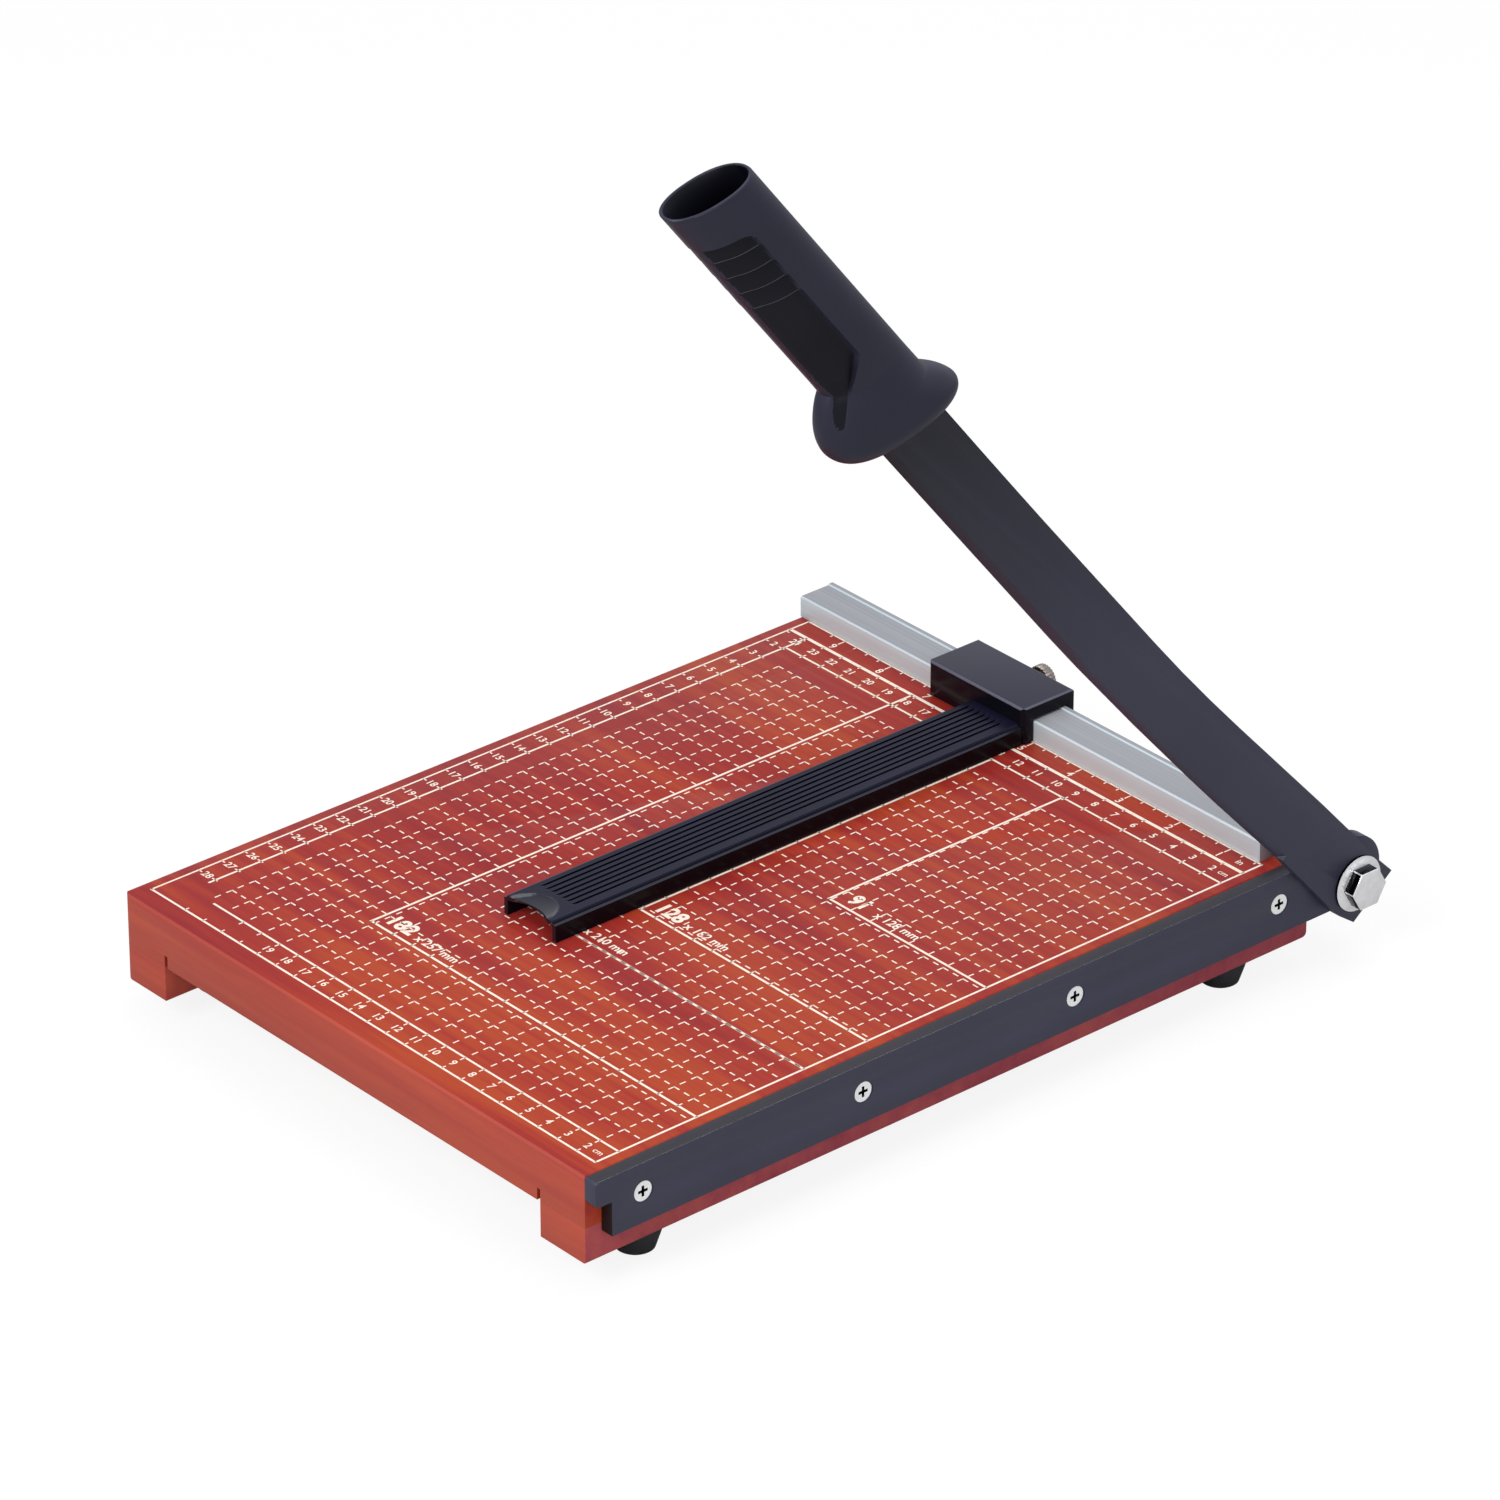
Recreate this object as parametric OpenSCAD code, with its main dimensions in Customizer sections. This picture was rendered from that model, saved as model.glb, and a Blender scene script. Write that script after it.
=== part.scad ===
// Guillotine paper trimmer: wooden bed on two runners, steel bed knife along the right edge,
// cutter arm hinged on the knife's rear lug, metal fence across the back and a sliding paper stop.
// Modelled in datum coordinates: x = 0 is the shearing plane (outer face of the bed knife),
// y = 0 is the printed zero line in front of the fence and z = 0 is the top of the bed.
// +X points to the cutting side, +Y away from the user, +Z up. seated() then stands the whole
// trimmer on its feet, over the middle of its own outline with the arm raised.

/* [Wooden bed] */
// Width of the wooden bed, across
board_w = 248.5; // [200:0.5:320]
// Length of the wooden bed, front to back
board_l = 329; // [260:1:420]
// How far the bed reaches behind the printed zero line
board_back = 19.7; // [18.5:0.1:26]
// Thickness of the bed panel
panel_t = 20; // [18:0.5:26]
// Radius of the bed's upright corners on the left
board_corner_r = 4; // [1:0.5:8]
// Radius of the bed's upright corner behind the knife
board_rear_r = 1; // [0.5:0.5:5]
// Chamfer along the bed's top edges
board_chamfer = 0.8; // [0.3:0.1:1.5]
// Width of each runner under the bed
runner_w = 23; // [20:0.5:32]
// Height of each runner
runner_h = 13.5; // [10:0.5:24]
// Rounding of the runners' lower rear ends
runner_end_r = 3.5; // [1:0.5:5]
// Rounding along the left runner's lower outer edge
left_edge_r = 2; // [0.5:0.5:5]
// Rounding along the right runner's lower outer edge
right_edge_r = 0.8; // [0.4:0.1:5]
// Width of the saw kerf in the panel beside each runner
kerf_w = 1.6; // [0.8:0.1:2.4]
// Height of the saw kerf
kerf_h = 4.7; // [2:0.1:7]

/* [Bed knife] */
// Thickness of the bed knife
knife_t = 5.5; // [4:0.1:8]
// Height of the bed knife
knife_h = 23; // [22:0.5:27]
// Radius of the round lug that carries the pivot
lug_r = 14.3; // [12.5:0.1:15]
// Offset of the lug's centre from the pivot axis, backwards and upwards
lug_shift = 1.2; // [0:0.1:1.5]
// Length of the notch in the knife's lower front corner
knife_notch_l = 7; // [4:0.5:12]
// Height of that notch
knife_notch_h = 11.5; // [6:0.5:15]
// Distance from the knife's front end to its first screw
knife_screw_inset = 20.4; // [14:0.2:30]
// Depth of the screw line below the top of the bed
knife_screw_drop = 11; // [8:0.5:13]
// Head diameter of the knife screws
knife_screw_head = 7.5; // [6:0.1:8.5]
// Length of the knife screws
knife_screw_l = 26; // [16:1:40]

/* [Fence] */
// Depth of the fence, front to back
fence_d = 16; // [12:0.5:17]
// Height of the fence
fence_h = 8.8; // [7:0.1:12]
// Gap between the printed zero line and the fence
fence_y = 1.5; // [0.5:0.1:2.5]
// Distance from the fence's end to the shearing plane
fence_end_gap = 12; // [8:0.5:30]
// Width of the raised bead along the fence's back edge
bead_w = 2.2; // [1:0.1:4]
// Height of that bead
bead_h = 0.5; // [0.2:0.1:1]

/* [Slider and paper stop] */
// Width of the slider, along the fence
slider_w = 50.5; // [44:0.5:70]
// Distance from the shearing plane to the slider's near end, as it stands
slider_x = 128; // [60:1:180]
// Thickness of the slider's front leg
front_leg_t = 5; // [4:0.1:8]
// Thickness of the slider's back leg
back_leg_t = 3; // [2.4:0.1:5]
// Thickness of the slider's cap over the fence
cap_t = 5.4; // [3.5:0.1:8]
// Sliding gap round the fence and above the bed
slide_gap = 0.3; // [0.2:0.05:0.5]
// Width of the paper stop
stop_w = 27.5; // [22:0.5:36]
// Length of the paper stop, from the slider to its open end
stop_l = 215.4; // [120:0.2:260]
// Height of the paper stop, above its gap to the bed
stop_h = 7.7; // [6.5:0.1:10]
// Wall of the paper stop
stop_wall = 1.8; // [1.2:0.1:2.4]
// Number of grooves along the stop's top
groove_n = 7; // [3:1:9]
// Width of each groove
groove_w = 1; // [0.5:0.1:1.4]
// Depth of each groove
groove_d = 0.6; // [0.3:0.1:0.8]
// Radius of the finger scoop at the stop's open end
scoop_r = 10.5; // [6:0.5:12]
// How far the scoop sits off the stop's middle
scoop_shift = 1.8; // [0:0.1:2]
// Diameter of the lock screw's thread
lock_d = 4; // [3:0.5:5]
// Diameter of the lock screw's knurled head
lock_head_d = 11; // [9:0.5:14]
// Thickness of that head
lock_head_t = 3.6; // [3:0.1:6]

/* [Cutter arm] */
// Angle of the arm above level, as it stands
arm_open = 50; // [5:1:75]
// Thickness of the arm's steel
arm_t = 4.5; // [3.5:0.1:6]
// Running gap between the arm and the bed knife
shear_gap = 0.15; // [0.1:0.05:0.3]
// Height of the arm above the pivot axis, at the pivot
arm_up = 11.2; // [11:0.1:13]
// Height of the arm's back edge above the pivot axis, where the arm is hollowed most
arm_up_mid = 6.3; // [5:0.1:9]
// Height of the arm's back edge above the pivot axis, at the guard
arm_up_far = 9.1; // [7.5:0.1:10]
// Depth of the arm below the pivot axis, at the pivot
arm_down = 13.8; // [12:0.1:15]
// Depth of the cutting edge below the pivot axis, where it is deepest
edge_down = 17.9; // [16:0.1:19]
// Depth of the cutting edge below the pivot axis, at the guard
edge_down_far = 15.3; // [14:0.1:16]
// Length of the arm behind the pivot axis
tail_l = 12; // [11:0.5:18]
// Width of the ground bevel along the cutting edge
bevel_w = 2.2; // [1:0.1:3.5]
// Width of the tang inside the handle
tang_w = 16; // [12:0.5:18]
// Length of the tang inside the handle
tang_l = 56; // [50:1:64]

/* [Pivot] */
// Distance of the pivot axis behind the bed
pivot_out = 13.3; // [12.5:0.1:20]
// Depth of the pivot axis below the top of the bed
pivot_drop = 12.5; // [10:0.5:14]
// Diameter of the pivot bolt's shank
bolt_d = 10; // [8:0.5:12]
// Diameter of the bolt's flange
flange_d = 21; // [18:0.5:24]
// Width across the flats of the bolt head and the lock nut
hex_af = 14; // [13:0.5:17]
// Height of the bolt's hexagon
hex_h = 4.8; // [4:0.1:8]
// Wire diameter of the pivot spring
wire_d = 2; // [1.4:0.1:2.4]
// Mean radius of the pivot spring's coils
coil_r = 8; // [7.4:0.1:8.6]
// Turns in the pivot spring
coil_turns = 3.5; // [2.5:0.5:6.5]
// Distance from one turn to the next
coil_pitch = 3.4; // [3:0.1:4.5]

/* [Handle] */
// Length of the handle along its axis, from the rim of the guard to the middle of its end
handle_l = 134.8; // [120:0.2:160]
// Half height of the grip, in the plane of the arm
grip_b = 15.8; // [14.5:0.1:18]
// Half thickness of the grip, across the arm
grip_a = 9.4; // [8.8:0.1:12]
// Tilt of the grip against the arm
grip_tilt = 1.4; // [0:0.1:3]
// Slope of the grip's end face, as length per height
grip_slant = 0.46; // [0.2:0.02:0.6]
// Slope of the guard's rim, as length per height
rim_slant = 0.36; // [0.2:0.02:0.5]
// Reach of the guard below the grip's axis
guard_front = 27.8; // [24:0.2:30]
// Reach of the guard above the grip's axis
guard_back = 22; // [20.5:0.1:24]
// Half thickness of the guard, across the arm
guard_a = 12.2; // [11:0.1:15]
// How far the guard's rim laps the front end of the bed knife
guard_lap = 14.8; // [12:0.2:24]
// Clear length between the knife's end and the inner half of the guard
guard_clear = 3; // [2:0.5:8]
// Depth of the finger recesses at the crests of their ridges
recess_d = 1.1; // [0.6:0.1:1.4]
// Depth of the steps below the ridges
ridge_d = 0.8; // [0.3:0.1:1]
// Distance between the ridges
ridge_pitch = 8.75; // [7:0.05:9]

/* [Feet] */
// Height of each rubber foot
foot_h = 10.6; // [8:0.2:18]
// Diameter of a foot where it meets the runner
foot_top_d = 19.8; // [17:0.2:20]
// Diameter of a foot where it stands
foot_base_d = 14.6; // [14:0.2:16]
// Distance from the bed's ends to the middle of the feet
foot_inset = 31; // [24:0.5:60]

/* [Hidden] */
$fn = 96;
// radial gap round fixed screws, and radial gap of the two turning shafts
fit = 0.05;
run_fit = 0.04;
// places that follow from the sizes above
left_x = -knife_t - board_w;
front_y = board_back - board_l;
panel_z = -panel_t;
runner_z = panel_z - runner_h;
floor_z = runner_z - foot_h;
fence_back = fence_y + fence_d;
fence_l = -left_x - fence_end_gap;
pivot_y = board_back + pivot_out;
pivot_z = -pivot_drop;
arm_x0 = shear_gap;
arm_x1 = shear_gap + arm_t;
arm_mid = (arm_x0 + arm_x1) / 2;
reach = pivot_y - front_y;
// countersunk wood screw of the runners and pan screw of the feet
wood_d = 3.8;
wood_head = 7.2;
runner_screw_l = runner_h + panel_t * 0.6;
foot_screw_d = 4;
foot_screw_head = 7.6;
foot_screw_l = 16;
foot_washer_d = 9;
foot_washer_t = 1;
foot_recess_d = 9.8;
foot_recess_h = foot_h * 0.45;
runner_mid = runner_w / 2;
foot_xs = [left_x + runner_mid, -knife_t - runner_mid];
foot_ys = [front_y + foot_inset, board_back - foot_inset];
runner_screw_gap = 28;
runner_screw_inset = foot_inset + runner_screw_gap;
runner_screw_ys = [front_y + runner_screw_inset, front_y + board_l / 2, board_back - runner_screw_inset];
knife_screw_n = 4;
knife_screw_d = 4.2;
knife_screw_pitch = (-front_y - knife_screw_inset) / (knife_screw_n - 1);
knife_screw_ys = [for (i = [0 : knife_screw_n - 1]) -i * knife_screw_pitch];
fence_screw_d = 4;
fence_screw_head = 7.6;
fence_screw_in = fence_h - 3;
fence_screw_sink = 5;
fence_screw_gap = 9;
fence_screw_inset = runner_w + fence_screw_gap;
fence_screw_span = board_w - 2 * fence_screw_inset;
fence_screw_xs = [for (i = [0 : 2]) left_x + fence_screw_inset + i * fence_screw_span / 2];
fence_screw_y = fence_y + fence_d / 2;
// slider and stop
slider_x0 = -slider_x - slider_w;
slider_x1 = -slider_x;
leg_y0 = fence_y - slide_gap - front_leg_t;
leg_y1 = fence_back + slide_gap + back_leg_t;
cap_z0 = fence_h + slide_gap;
cap_z1 = cap_z0 + cap_t;
slider_edge = 1.2;
lip_h = 3.4;
lip_d = 0.8;
stop_x1 = slider_x1 - 0.6;
stop_x0 = stop_x1 - stop_w;
stop_y0 = leg_y0 - stop_l;
stop_z0 = slide_gap;
stop_z1 = stop_z0 + stop_h;
ledge_w = 1.3;
ledge_h = 1.2;
stop_boss_l = 15;
scoop_x = (stop_x0 + stop_x1) / 2 + scoop_shift;
scoop_drop = 2;
stop_screw_d = 3;
stop_screw_head = 5.4;
stop_screw_l = front_leg_t + 9;
stop_screw_z = (stop_z0 + stop_z1) / 2 - 0.4;
stop_screw_xs = [for (s = [-1, 1]) (stop_x0 + stop_x1) / 2 + s * stop_w * 0.24];
lock_x = (slider_x0 + slider_x1) / 2;
lock_z = fence_h * 0.6;
insert_d = lock_d + 3;
insert_flange_d = lock_d + 4.6;
insert_flange_t = 0.8;
lock_collar_d = lock_d + 3.2;
lock_collar_l = 4;
lock_neck = 1.6;
lock_head_y = leg_y1 + insert_flange_t + lock_neck + lock_collar_l;
knurls = 26;
knurl_d = 0.45;
// pivot stack, from the bolt's flange inwards
bolt_gap = 0.08;
flange_t = 1.6;
washer_d = min(22, 2 * (pivot_out - 1.5));
washer_t = 2;
bend_r = wire_d * 0.8;
spring_l = 2 * (wire_d + bend_r) + coil_pitch * coil_turns;
spring_x = -knife_t - washer_t;
nut_x = spring_x - spring_l - washer_t;
nut_h = 9;
nut_collar_d = hex_af + 0.6;
nut_collar_h = 2.4;
bolt_end = nut_x - nut_h - 2.5;
// arm outline along the arm: t runs from the pivot towards the handle, n square to it
edge_start = 41;
edge_deep = 188;
back_deep = 150;
heel_r = 3.1;
heel_up = 1;
blade_l = reach + guard_clear - 1;
tang_n = -1;
// handle stations, counted along the grip axis from the pivot
rim_t = reach - guard_lap;
end_t = rim_t + handle_l;
axis_n = -10;
sides = 40;
squareness = 2.2;
relief_t = reach + guard_clear;
relief_run = 10;
ridge_n = 4;
recess_top = end_t - 17.8;
recess_corner = 5;
recess_turn = rim_t + 44.5;
ridge_first = recess_top - 7.6;
ridge_ts = [for (k = [0 : ridge_n - 1]) ridge_first - k * ridge_pitch];
bore_l = 57;
bore_floor = end_t - bore_l;
bore_wall = 4.2;
mouth_wall = 1.9;
mouth_run = 20;
handle_screw_gap = 22;
handle_screw_ts = [for (i = [0, 1]) relief_t + relief_run * 1.8 + i * handle_screw_gap];
handle_screw_d = 4;
handle_screw_head = 7.4;
handle_screw_head_h = 2.4;
handle_screw_n = tang_n + tang_w / 2 - 4.4;
handle_seat_x = arm_mid - grip_a + 3;
handle_screw_reach = 6.2;

// Smooth step from 0 to 1 as v goes from a to b
function ease(a, b, v) = let (u = min(1, max(0, (v - a) / (b - a)))) u * u * (3 - 2 * u);
// Share of the way from a to b, never below 0 or above 1
function part_way(a, b, v) = min(1, max(0, (v - a) / (b - a)));
// Lower edge of the arm at distance t from the pivot: bellied between the pivot and the guard
function edge_n(t) = -arm_down - (edge_down - arm_down) * (1 - pow(1 - part_way(edge_start, edge_deep, t), 2))
    + (edge_down - edge_down_far) * pow(part_way(edge_deep, rim_t, t), 1.3);
// Back edge of the arm at distance t from the pivot: hollowed to match
function back_n(t) = arm_up - (arm_up - arm_up_mid) * ease(0, back_deep, t)
    + (arm_up_far - arm_up_mid) * pow(part_way(back_deep, rim_t, t), 1.6);
edge_ts = concat([for (i = [0 : 14]) edge_start + i * (rim_t - edge_start) / 14], [blade_l]);
back_ts = [for (i = [0 : 16]) rim_t * i / 16];
arm_outline = concat(
    [[-tail_l, arm_up + heel_up]], [for (t = back_ts) [t, back_n(t)]],
    [[blade_l, back_n(blade_l)], [blade_l, tang_n + tang_w / 2],
     [blade_l + tang_l, tang_n + tang_w / 2], [blade_l + tang_l, tang_n - tang_w / 2],
     [blade_l, tang_n - tang_w / 2]],
    [for (i = [len(edge_ts) - 1 : -1 : 0]) [edge_ts[i], edge_n(edge_ts[i])]],
    [[heel_r, -arm_down + heel_r * 0.2], [-heel_r, -arm_down + heel_r * 0.3], [-tail_l + heel_r * 0.2, -arm_down + heel_r]]);

// Middle of the whole outline: left edge to the guard's outer face, front edge to the arm's tail
arm_back_y = max([for (p = arm_outline) pivot_y - p[0] * cos(arm_open) + p[1] * sin(arm_open)]);
mid_x = (left_x + arm_mid + guard_a) / 2;
mid_y = (front_y + max(arm_back_y, pivot_y + lug_shift + lug_r)) / 2;

// Datum coordinates to the part's own frame
module seated() {
    translate([-mid_x, -mid_y, -floor_z]) children();
}

// Arm coordinates: t along the arm, n square to it, and the third axis towards the bed
module on_arm(x = arm_mid) {
    translate([x, pivot_y, pivot_z]) rotate([-arm_open, 0, 0]) rotate([90, 0, -90]) children();
}

// Points of an arc round [x, y] of radius r, from angle a0 to angle a1
function arc(x, y, r, a0, a1, n = 10) = [for (i = [0 : n]) let (a = a0 + (a1 - a0) * i / n)
    [x + r * cos(a), y + r * sin(a)]];

// Triangular prism of leg c along a box edge: a chamfer cutter along +X, centred on the edge
module chamfer_bar(l, c) {
    rotate([45, 0, 0]) cube([l, c * sqrt(2), c * sqrt(2)], center = true);
}

// Cross recess of a screw head, cut down from z = 0
module cross_cut(d, h) {
    for (a = [0, 90]) rotate(a) translate([0, 0, 1 - h]) cube([d * 0.55, d * 0.15, 2 * h], center = true);
    translate([0, 0, -h]) cylinder(h = h + 1, d1 = d * 0.1, d2 = d * 0.34);
}

// Countersunk screw with its head at z = 0, pointing down; gap widens it into its own hole
module csk_body(head, d, l, gap = 0) {
    cone = (head - d) / 2;
    translate([0, 0, -cone - gap]) cylinder(h = cone + gap, d1 = d + 2 * gap, d2 = head + 4 * gap);
    translate([0, 0, -l + d / 2 - gap - 0.01]) cylinder(h = l - d / 2 - cone + gap + 0.02, d = d + 2 * gap);
    translate([0, 0, -l - 2 * gap]) cylinder(h = d / 2 + gap, d1 = d * 0.2 + 2 * gap, d2 = d + 2 * gap);
}

module csk_screw(head, d, l) {
    difference() {
        csk_body(head, d, l);
        cross_cut(head, head * 0.18);
    }
}

// Hole for a countersunk screw, open above its head
module csk_hole(head, d, l, rise = 1) {
    csk_body(head, d, l, fit);
    translate([0, 0, -0.001]) cylinder(h = rise, d = head + 1);
}

// Pan screw with the seat of its head at z = 0
module pan_body(head, head_h, d, l, gap = 0) {
    translate([0, 0, -gap]) cylinder(h = head_h + 2 * gap, d = head + 2 * gap);
    translate([0, 0, -l - gap]) cylinder(h = l + 2 * gap, d = d + 2 * gap);
}

module pan_screw(head, head_h, d, l) {
    difference() {
        union() {
            cylinder(h = head_h * 0.55, d = head);
            translate([0, 0, head_h * 0.55 - 0.001]) cylinder(h = head_h * 0.45, d1 = head, d2 = head * 0.66);
            translate([0, 0, -l]) cylinder(h = l + 0.01, d = d);
        }
        translate([0, 0, head_h]) cross_cut(head, head_h * 0.6);
    }
}

module at_runner_screws() {
    for (x = foot_xs, y = runner_screw_ys) translate([x, y, runner_z]) rotate([180, 0, 0]) children();
}

module at_feet() {
    for (x = foot_xs, y = foot_ys) translate([x, y, runner_z]) children();
}

module at_knife_screws() {
    for (y = knife_screw_ys) translate([-0.25, y, -knife_screw_drop]) rotate([0, 90, 0]) children();
}

module at_fence_screws() {
    for (x = fence_screw_xs)
        translate([x, fence_screw_y, panel_z + fence_screw_sink]) rotate([180, 0, 0]) children();
}

module base_panel() color("#a8412f") seated() difference() {
    translate([0, 0, panel_z]) linear_extrude(panel_t) bed_outline();
    for (x = [left_x, -knife_t])
        translate([x, front_y + board_l / 2, 0]) rotate(90) chamfer_bar(board_l + 2, board_chamfer);
    for (y = [front_y, board_back])
        translate([left_x + board_w / 2, y, 0]) chamfer_bar(board_w + 2, board_chamfer);
    for (x = [left_x + runner_w, -knife_t - runner_w - kerf_w])
        translate([x, front_y - 1, panel_z - 1]) cube([kerf_w, board_l + 2, kerf_h + 1]);
    at_runner_screws() csk_body(wood_head, wood_d, runner_screw_l, fit);
    at_feet() cylinder(h = foot_screw_l, d = foot_screw_d + 2 * fit);
    at_knife_screws() csk_body(knife_screw_head, knife_screw_d, knife_screw_l, fit);
    at_fence_screws() {
        translate([0, 0, -panel_t]) cylinder(h = panel_t, d = fence_screw_d + 2 * fit);
        cylinder(h = fence_screw_sink + 1, d = fence_screw_head + 1);
    }
}

// Plan of the bed: round corners, but square where the knife's front end lies
module bed_outline() {
    r = board_corner_r;
    q = board_rear_r;
    polygon(concat([[-knife_t, front_y]], arc(-knife_t - q, board_back - q, q, 0, 90),
        arc(left_x + r, board_back - r, r, 90, 180), arc(left_x + r, front_y + r, r, 180, 270)));
}

module runner(x0) difference() {
    intersection() {
        translate([0, 0, runner_z]) linear_extrude(runner_h) bed_outline();
        translate([x0, 0, 0]) rotate([90, 0, 0]) translate([0, 0, -board_back - 1])
            linear_extrude(board_l + 2)
                runner_profile(runner_w, x0 == left_x, x0 == left_x ? left_edge_r : right_edge_r);
        translate([x0 - 1, 0, 0]) rotate([90, 0, 90]) linear_extrude(runner_w + 2)
            translate([front_y, 0]) runner_profile(board_l, false, runner_end_r);
    }
    at_runner_screws() csk_hole(wood_head, wood_d, runner_screw_l);
    at_feet() translate([0, 0, -1]) cylinder(h = foot_screw_l, d = foot_screw_d + 2 * fit);
}

// Section of a runner, w wide, with one lower corner rounded by r: the left or the right one
module runner_profile(w, left, r) {
    corner = left ? arc(r, runner_z + r, r, 180, 270) : arc(w - r, runner_z + r, r, 270, 360);
    polygon(concat(left ? [] : [[0, runner_z]], corner, left ? [[w, runner_z]] : [], [[w, panel_z], [0, panel_z]]));
}

module left_runner() color("#9c3c2c") seated() runner(left_x);

module right_runner() color("#9c3c2c") seated() runner(-knife_t - runner_w);

module runner_screws() color("#c8c8cc") seated() at_runner_screws()
    csk_screw(wood_head, wood_d, runner_screw_l);

module bed_knife() color("#3c3d48") seated() difference() {
    translate([-knife_t, 0, 0]) rotate([90, 0, 90]) linear_extrude(knife_t) difference() {
        union() {
            translate([front_y, -knife_h]) square([pivot_y - front_y, knife_h]);
            translate([pivot_y + lug_shift, pivot_z + lug_shift]) circle(lug_r);
        }
        translate([front_y - 1, -knife_h - 1]) square([knife_notch_l + 1, knife_notch_h + 1]);
    }
    at_knife_screws() csk_hole(knife_screw_head, knife_screw_d, knife_screw_l);
    translate([-knife_t - 1, pivot_y, pivot_z]) rotate([0, 90, 0])
        cylinder(h = knife_t + 2, d = bolt_d + 4 * fit);
}

module knife_screws() color("#d6d8dc") seated() at_knife_screws()
    csk_screw(knife_screw_head, knife_screw_d, knife_screw_l);

module fence_rail() color("#b1b5ba") seated() difference() {
    translate([left_x, 0, 0]) rotate([90, 0, 90]) linear_extrude(fence_l) polygon([
        [fence_y, 0], [fence_back, 0], [fence_back, fence_h - 0.5], [fence_back - 0.5, fence_h],
        [fence_back - bead_w, fence_h], [fence_back - bead_w - bead_h, fence_h - bead_h],
        [fence_y + 0.6, fence_h - bead_h], [fence_y, fence_h - bead_h - 0.6]]);
    for (x = fence_screw_xs) translate([x, fence_screw_y, -1])
        cylinder(h = 1 + fence_screw_in + 0.4, d = fence_screw_d + 2 * fit);
}

module fence_screws() color("#c8c8cc") seated() at_fence_screws()
    pan_screw(fence_screw_head, 2.6, fence_screw_d, panel_t - fence_screw_sink + fence_screw_in);

// Rubber foot under the runner at the given corner: 0 or 1 across, 0 or 1 front to back
module foot(ix, iy) {
    base_r = foot_base_d / 2;
    recess_r = foot_recess_d / 2;
    translate([foot_xs[ix], foot_ys[iy], runner_z]) rotate_extrude() polygon([
        [foot_screw_d / 2 + fit, 0], [foot_top_d / 2, 0], [foot_top_d / 2 - 0.9, -foot_h * 0.34],
        [base_r, -foot_h + 1.6], [base_r - 0.4, -foot_h + 0.4], [base_r - 1, -foot_h], [recess_r, -foot_h],
        [recess_r, -foot_h + foot_recess_h], [foot_screw_d / 2 + fit, -foot_h + foot_recess_h]]);
}

module foot_front_left() color("#1d1d20") seated() foot(0, 0);

module foot_front_right() color("#1d1d20") seated() foot(1, 0);

module foot_rear_left() color("#1d1d20") seated() foot(0, 1);

module foot_rear_right() color("#1d1d20") seated() foot(1, 1);

module foot_washers() color("#c8c8cc") seated() at_feet()
    translate([0, 0, -foot_h + foot_recess_h - foot_washer_t]) difference() {
        cylinder(h = foot_washer_t, d = foot_washer_d);
        translate([0, 0, -1]) cylinder(h = foot_washer_t + 2, d = foot_screw_d + 2 * fit);
    }

module foot_screws() color("#c8c8cc") seated() at_feet()
    translate([0, 0, -foot_h + foot_recess_h - foot_washer_t]) rotate([180, 0, 0])
        pan_screw(foot_screw_head, 2.4, foot_screw_d, foot_h - foot_recess_h + foot_washer_t + foot_screw_l - 1);

// Hexagon of the bolt head and the nut, with upright corners to the front and the back
module hexagon(af, h) {
    rotate(30) cylinder(h = h, d = af / cos(30), $fn = 6);
}

module pivot_bolt() color("#d8dade") seated() translate([arm_x1 + bolt_gap, pivot_y, pivot_z])
    rotate([0, 90, 0]) {
        cylinder(h = flange_t * 0.6, d = flange_d);
        translate([0, 0, flange_t * 0.6 - 0.001]) cylinder(h = flange_t * 0.6, d1 = flange_d - 0.6, d2 = hex_af + 2.5);
        intersection() {
            translate([0, 0, flange_t - 0.001]) hexagon(hex_af, hex_h);
            cylinder(h = flange_t + hex_h, d1 = hex_af + 12, d2 = hex_af - 0.4);
        }
        translate([0, 0, bolt_end - arm_x1 - bolt_gap + 1])
            cylinder(h = arm_x1 + bolt_gap - bolt_end - 0.99, d = bolt_d);
        translate([0, 0, bolt_end - arm_x1 - bolt_gap])
            cylinder(h = 1.01, d1 = bolt_d - 1.6, d2 = bolt_d);
    }

// Flat washer with its outer face at the given x
module washer(x) {
    translate([x - washer_t, pivot_y, pivot_z]) rotate([0, 90, 0]) difference() {
        cylinder(h = washer_t, d = washer_d);
        translate([0, 0, -1]) cylinder(h = washer_t + 2, d = bolt_d + 4 * fit);
    }
}

module pivot_washers() color("#c4c6ca") seated() {
    washer(-knife_t);
    washer(spring_x - spring_l);
}

module lock_nut() color("#c4c6ca") seated() translate([nut_x, pivot_y, pivot_z]) rotate([0, -90, 0])
    difference() {
        union() {
            intersection() {
                hexagon(hex_af + 2, nut_h - nut_collar_h);
                cylinder(h = nut_h, d1 = hex_af + 18, d2 = hex_af - 2);
            }
            cylinder(h = nut_h, d = nut_collar_d);
        }
        translate([0, 0, -1]) cylinder(h = nut_h + 2, d = bolt_d + 2 * fit);
    }

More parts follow.
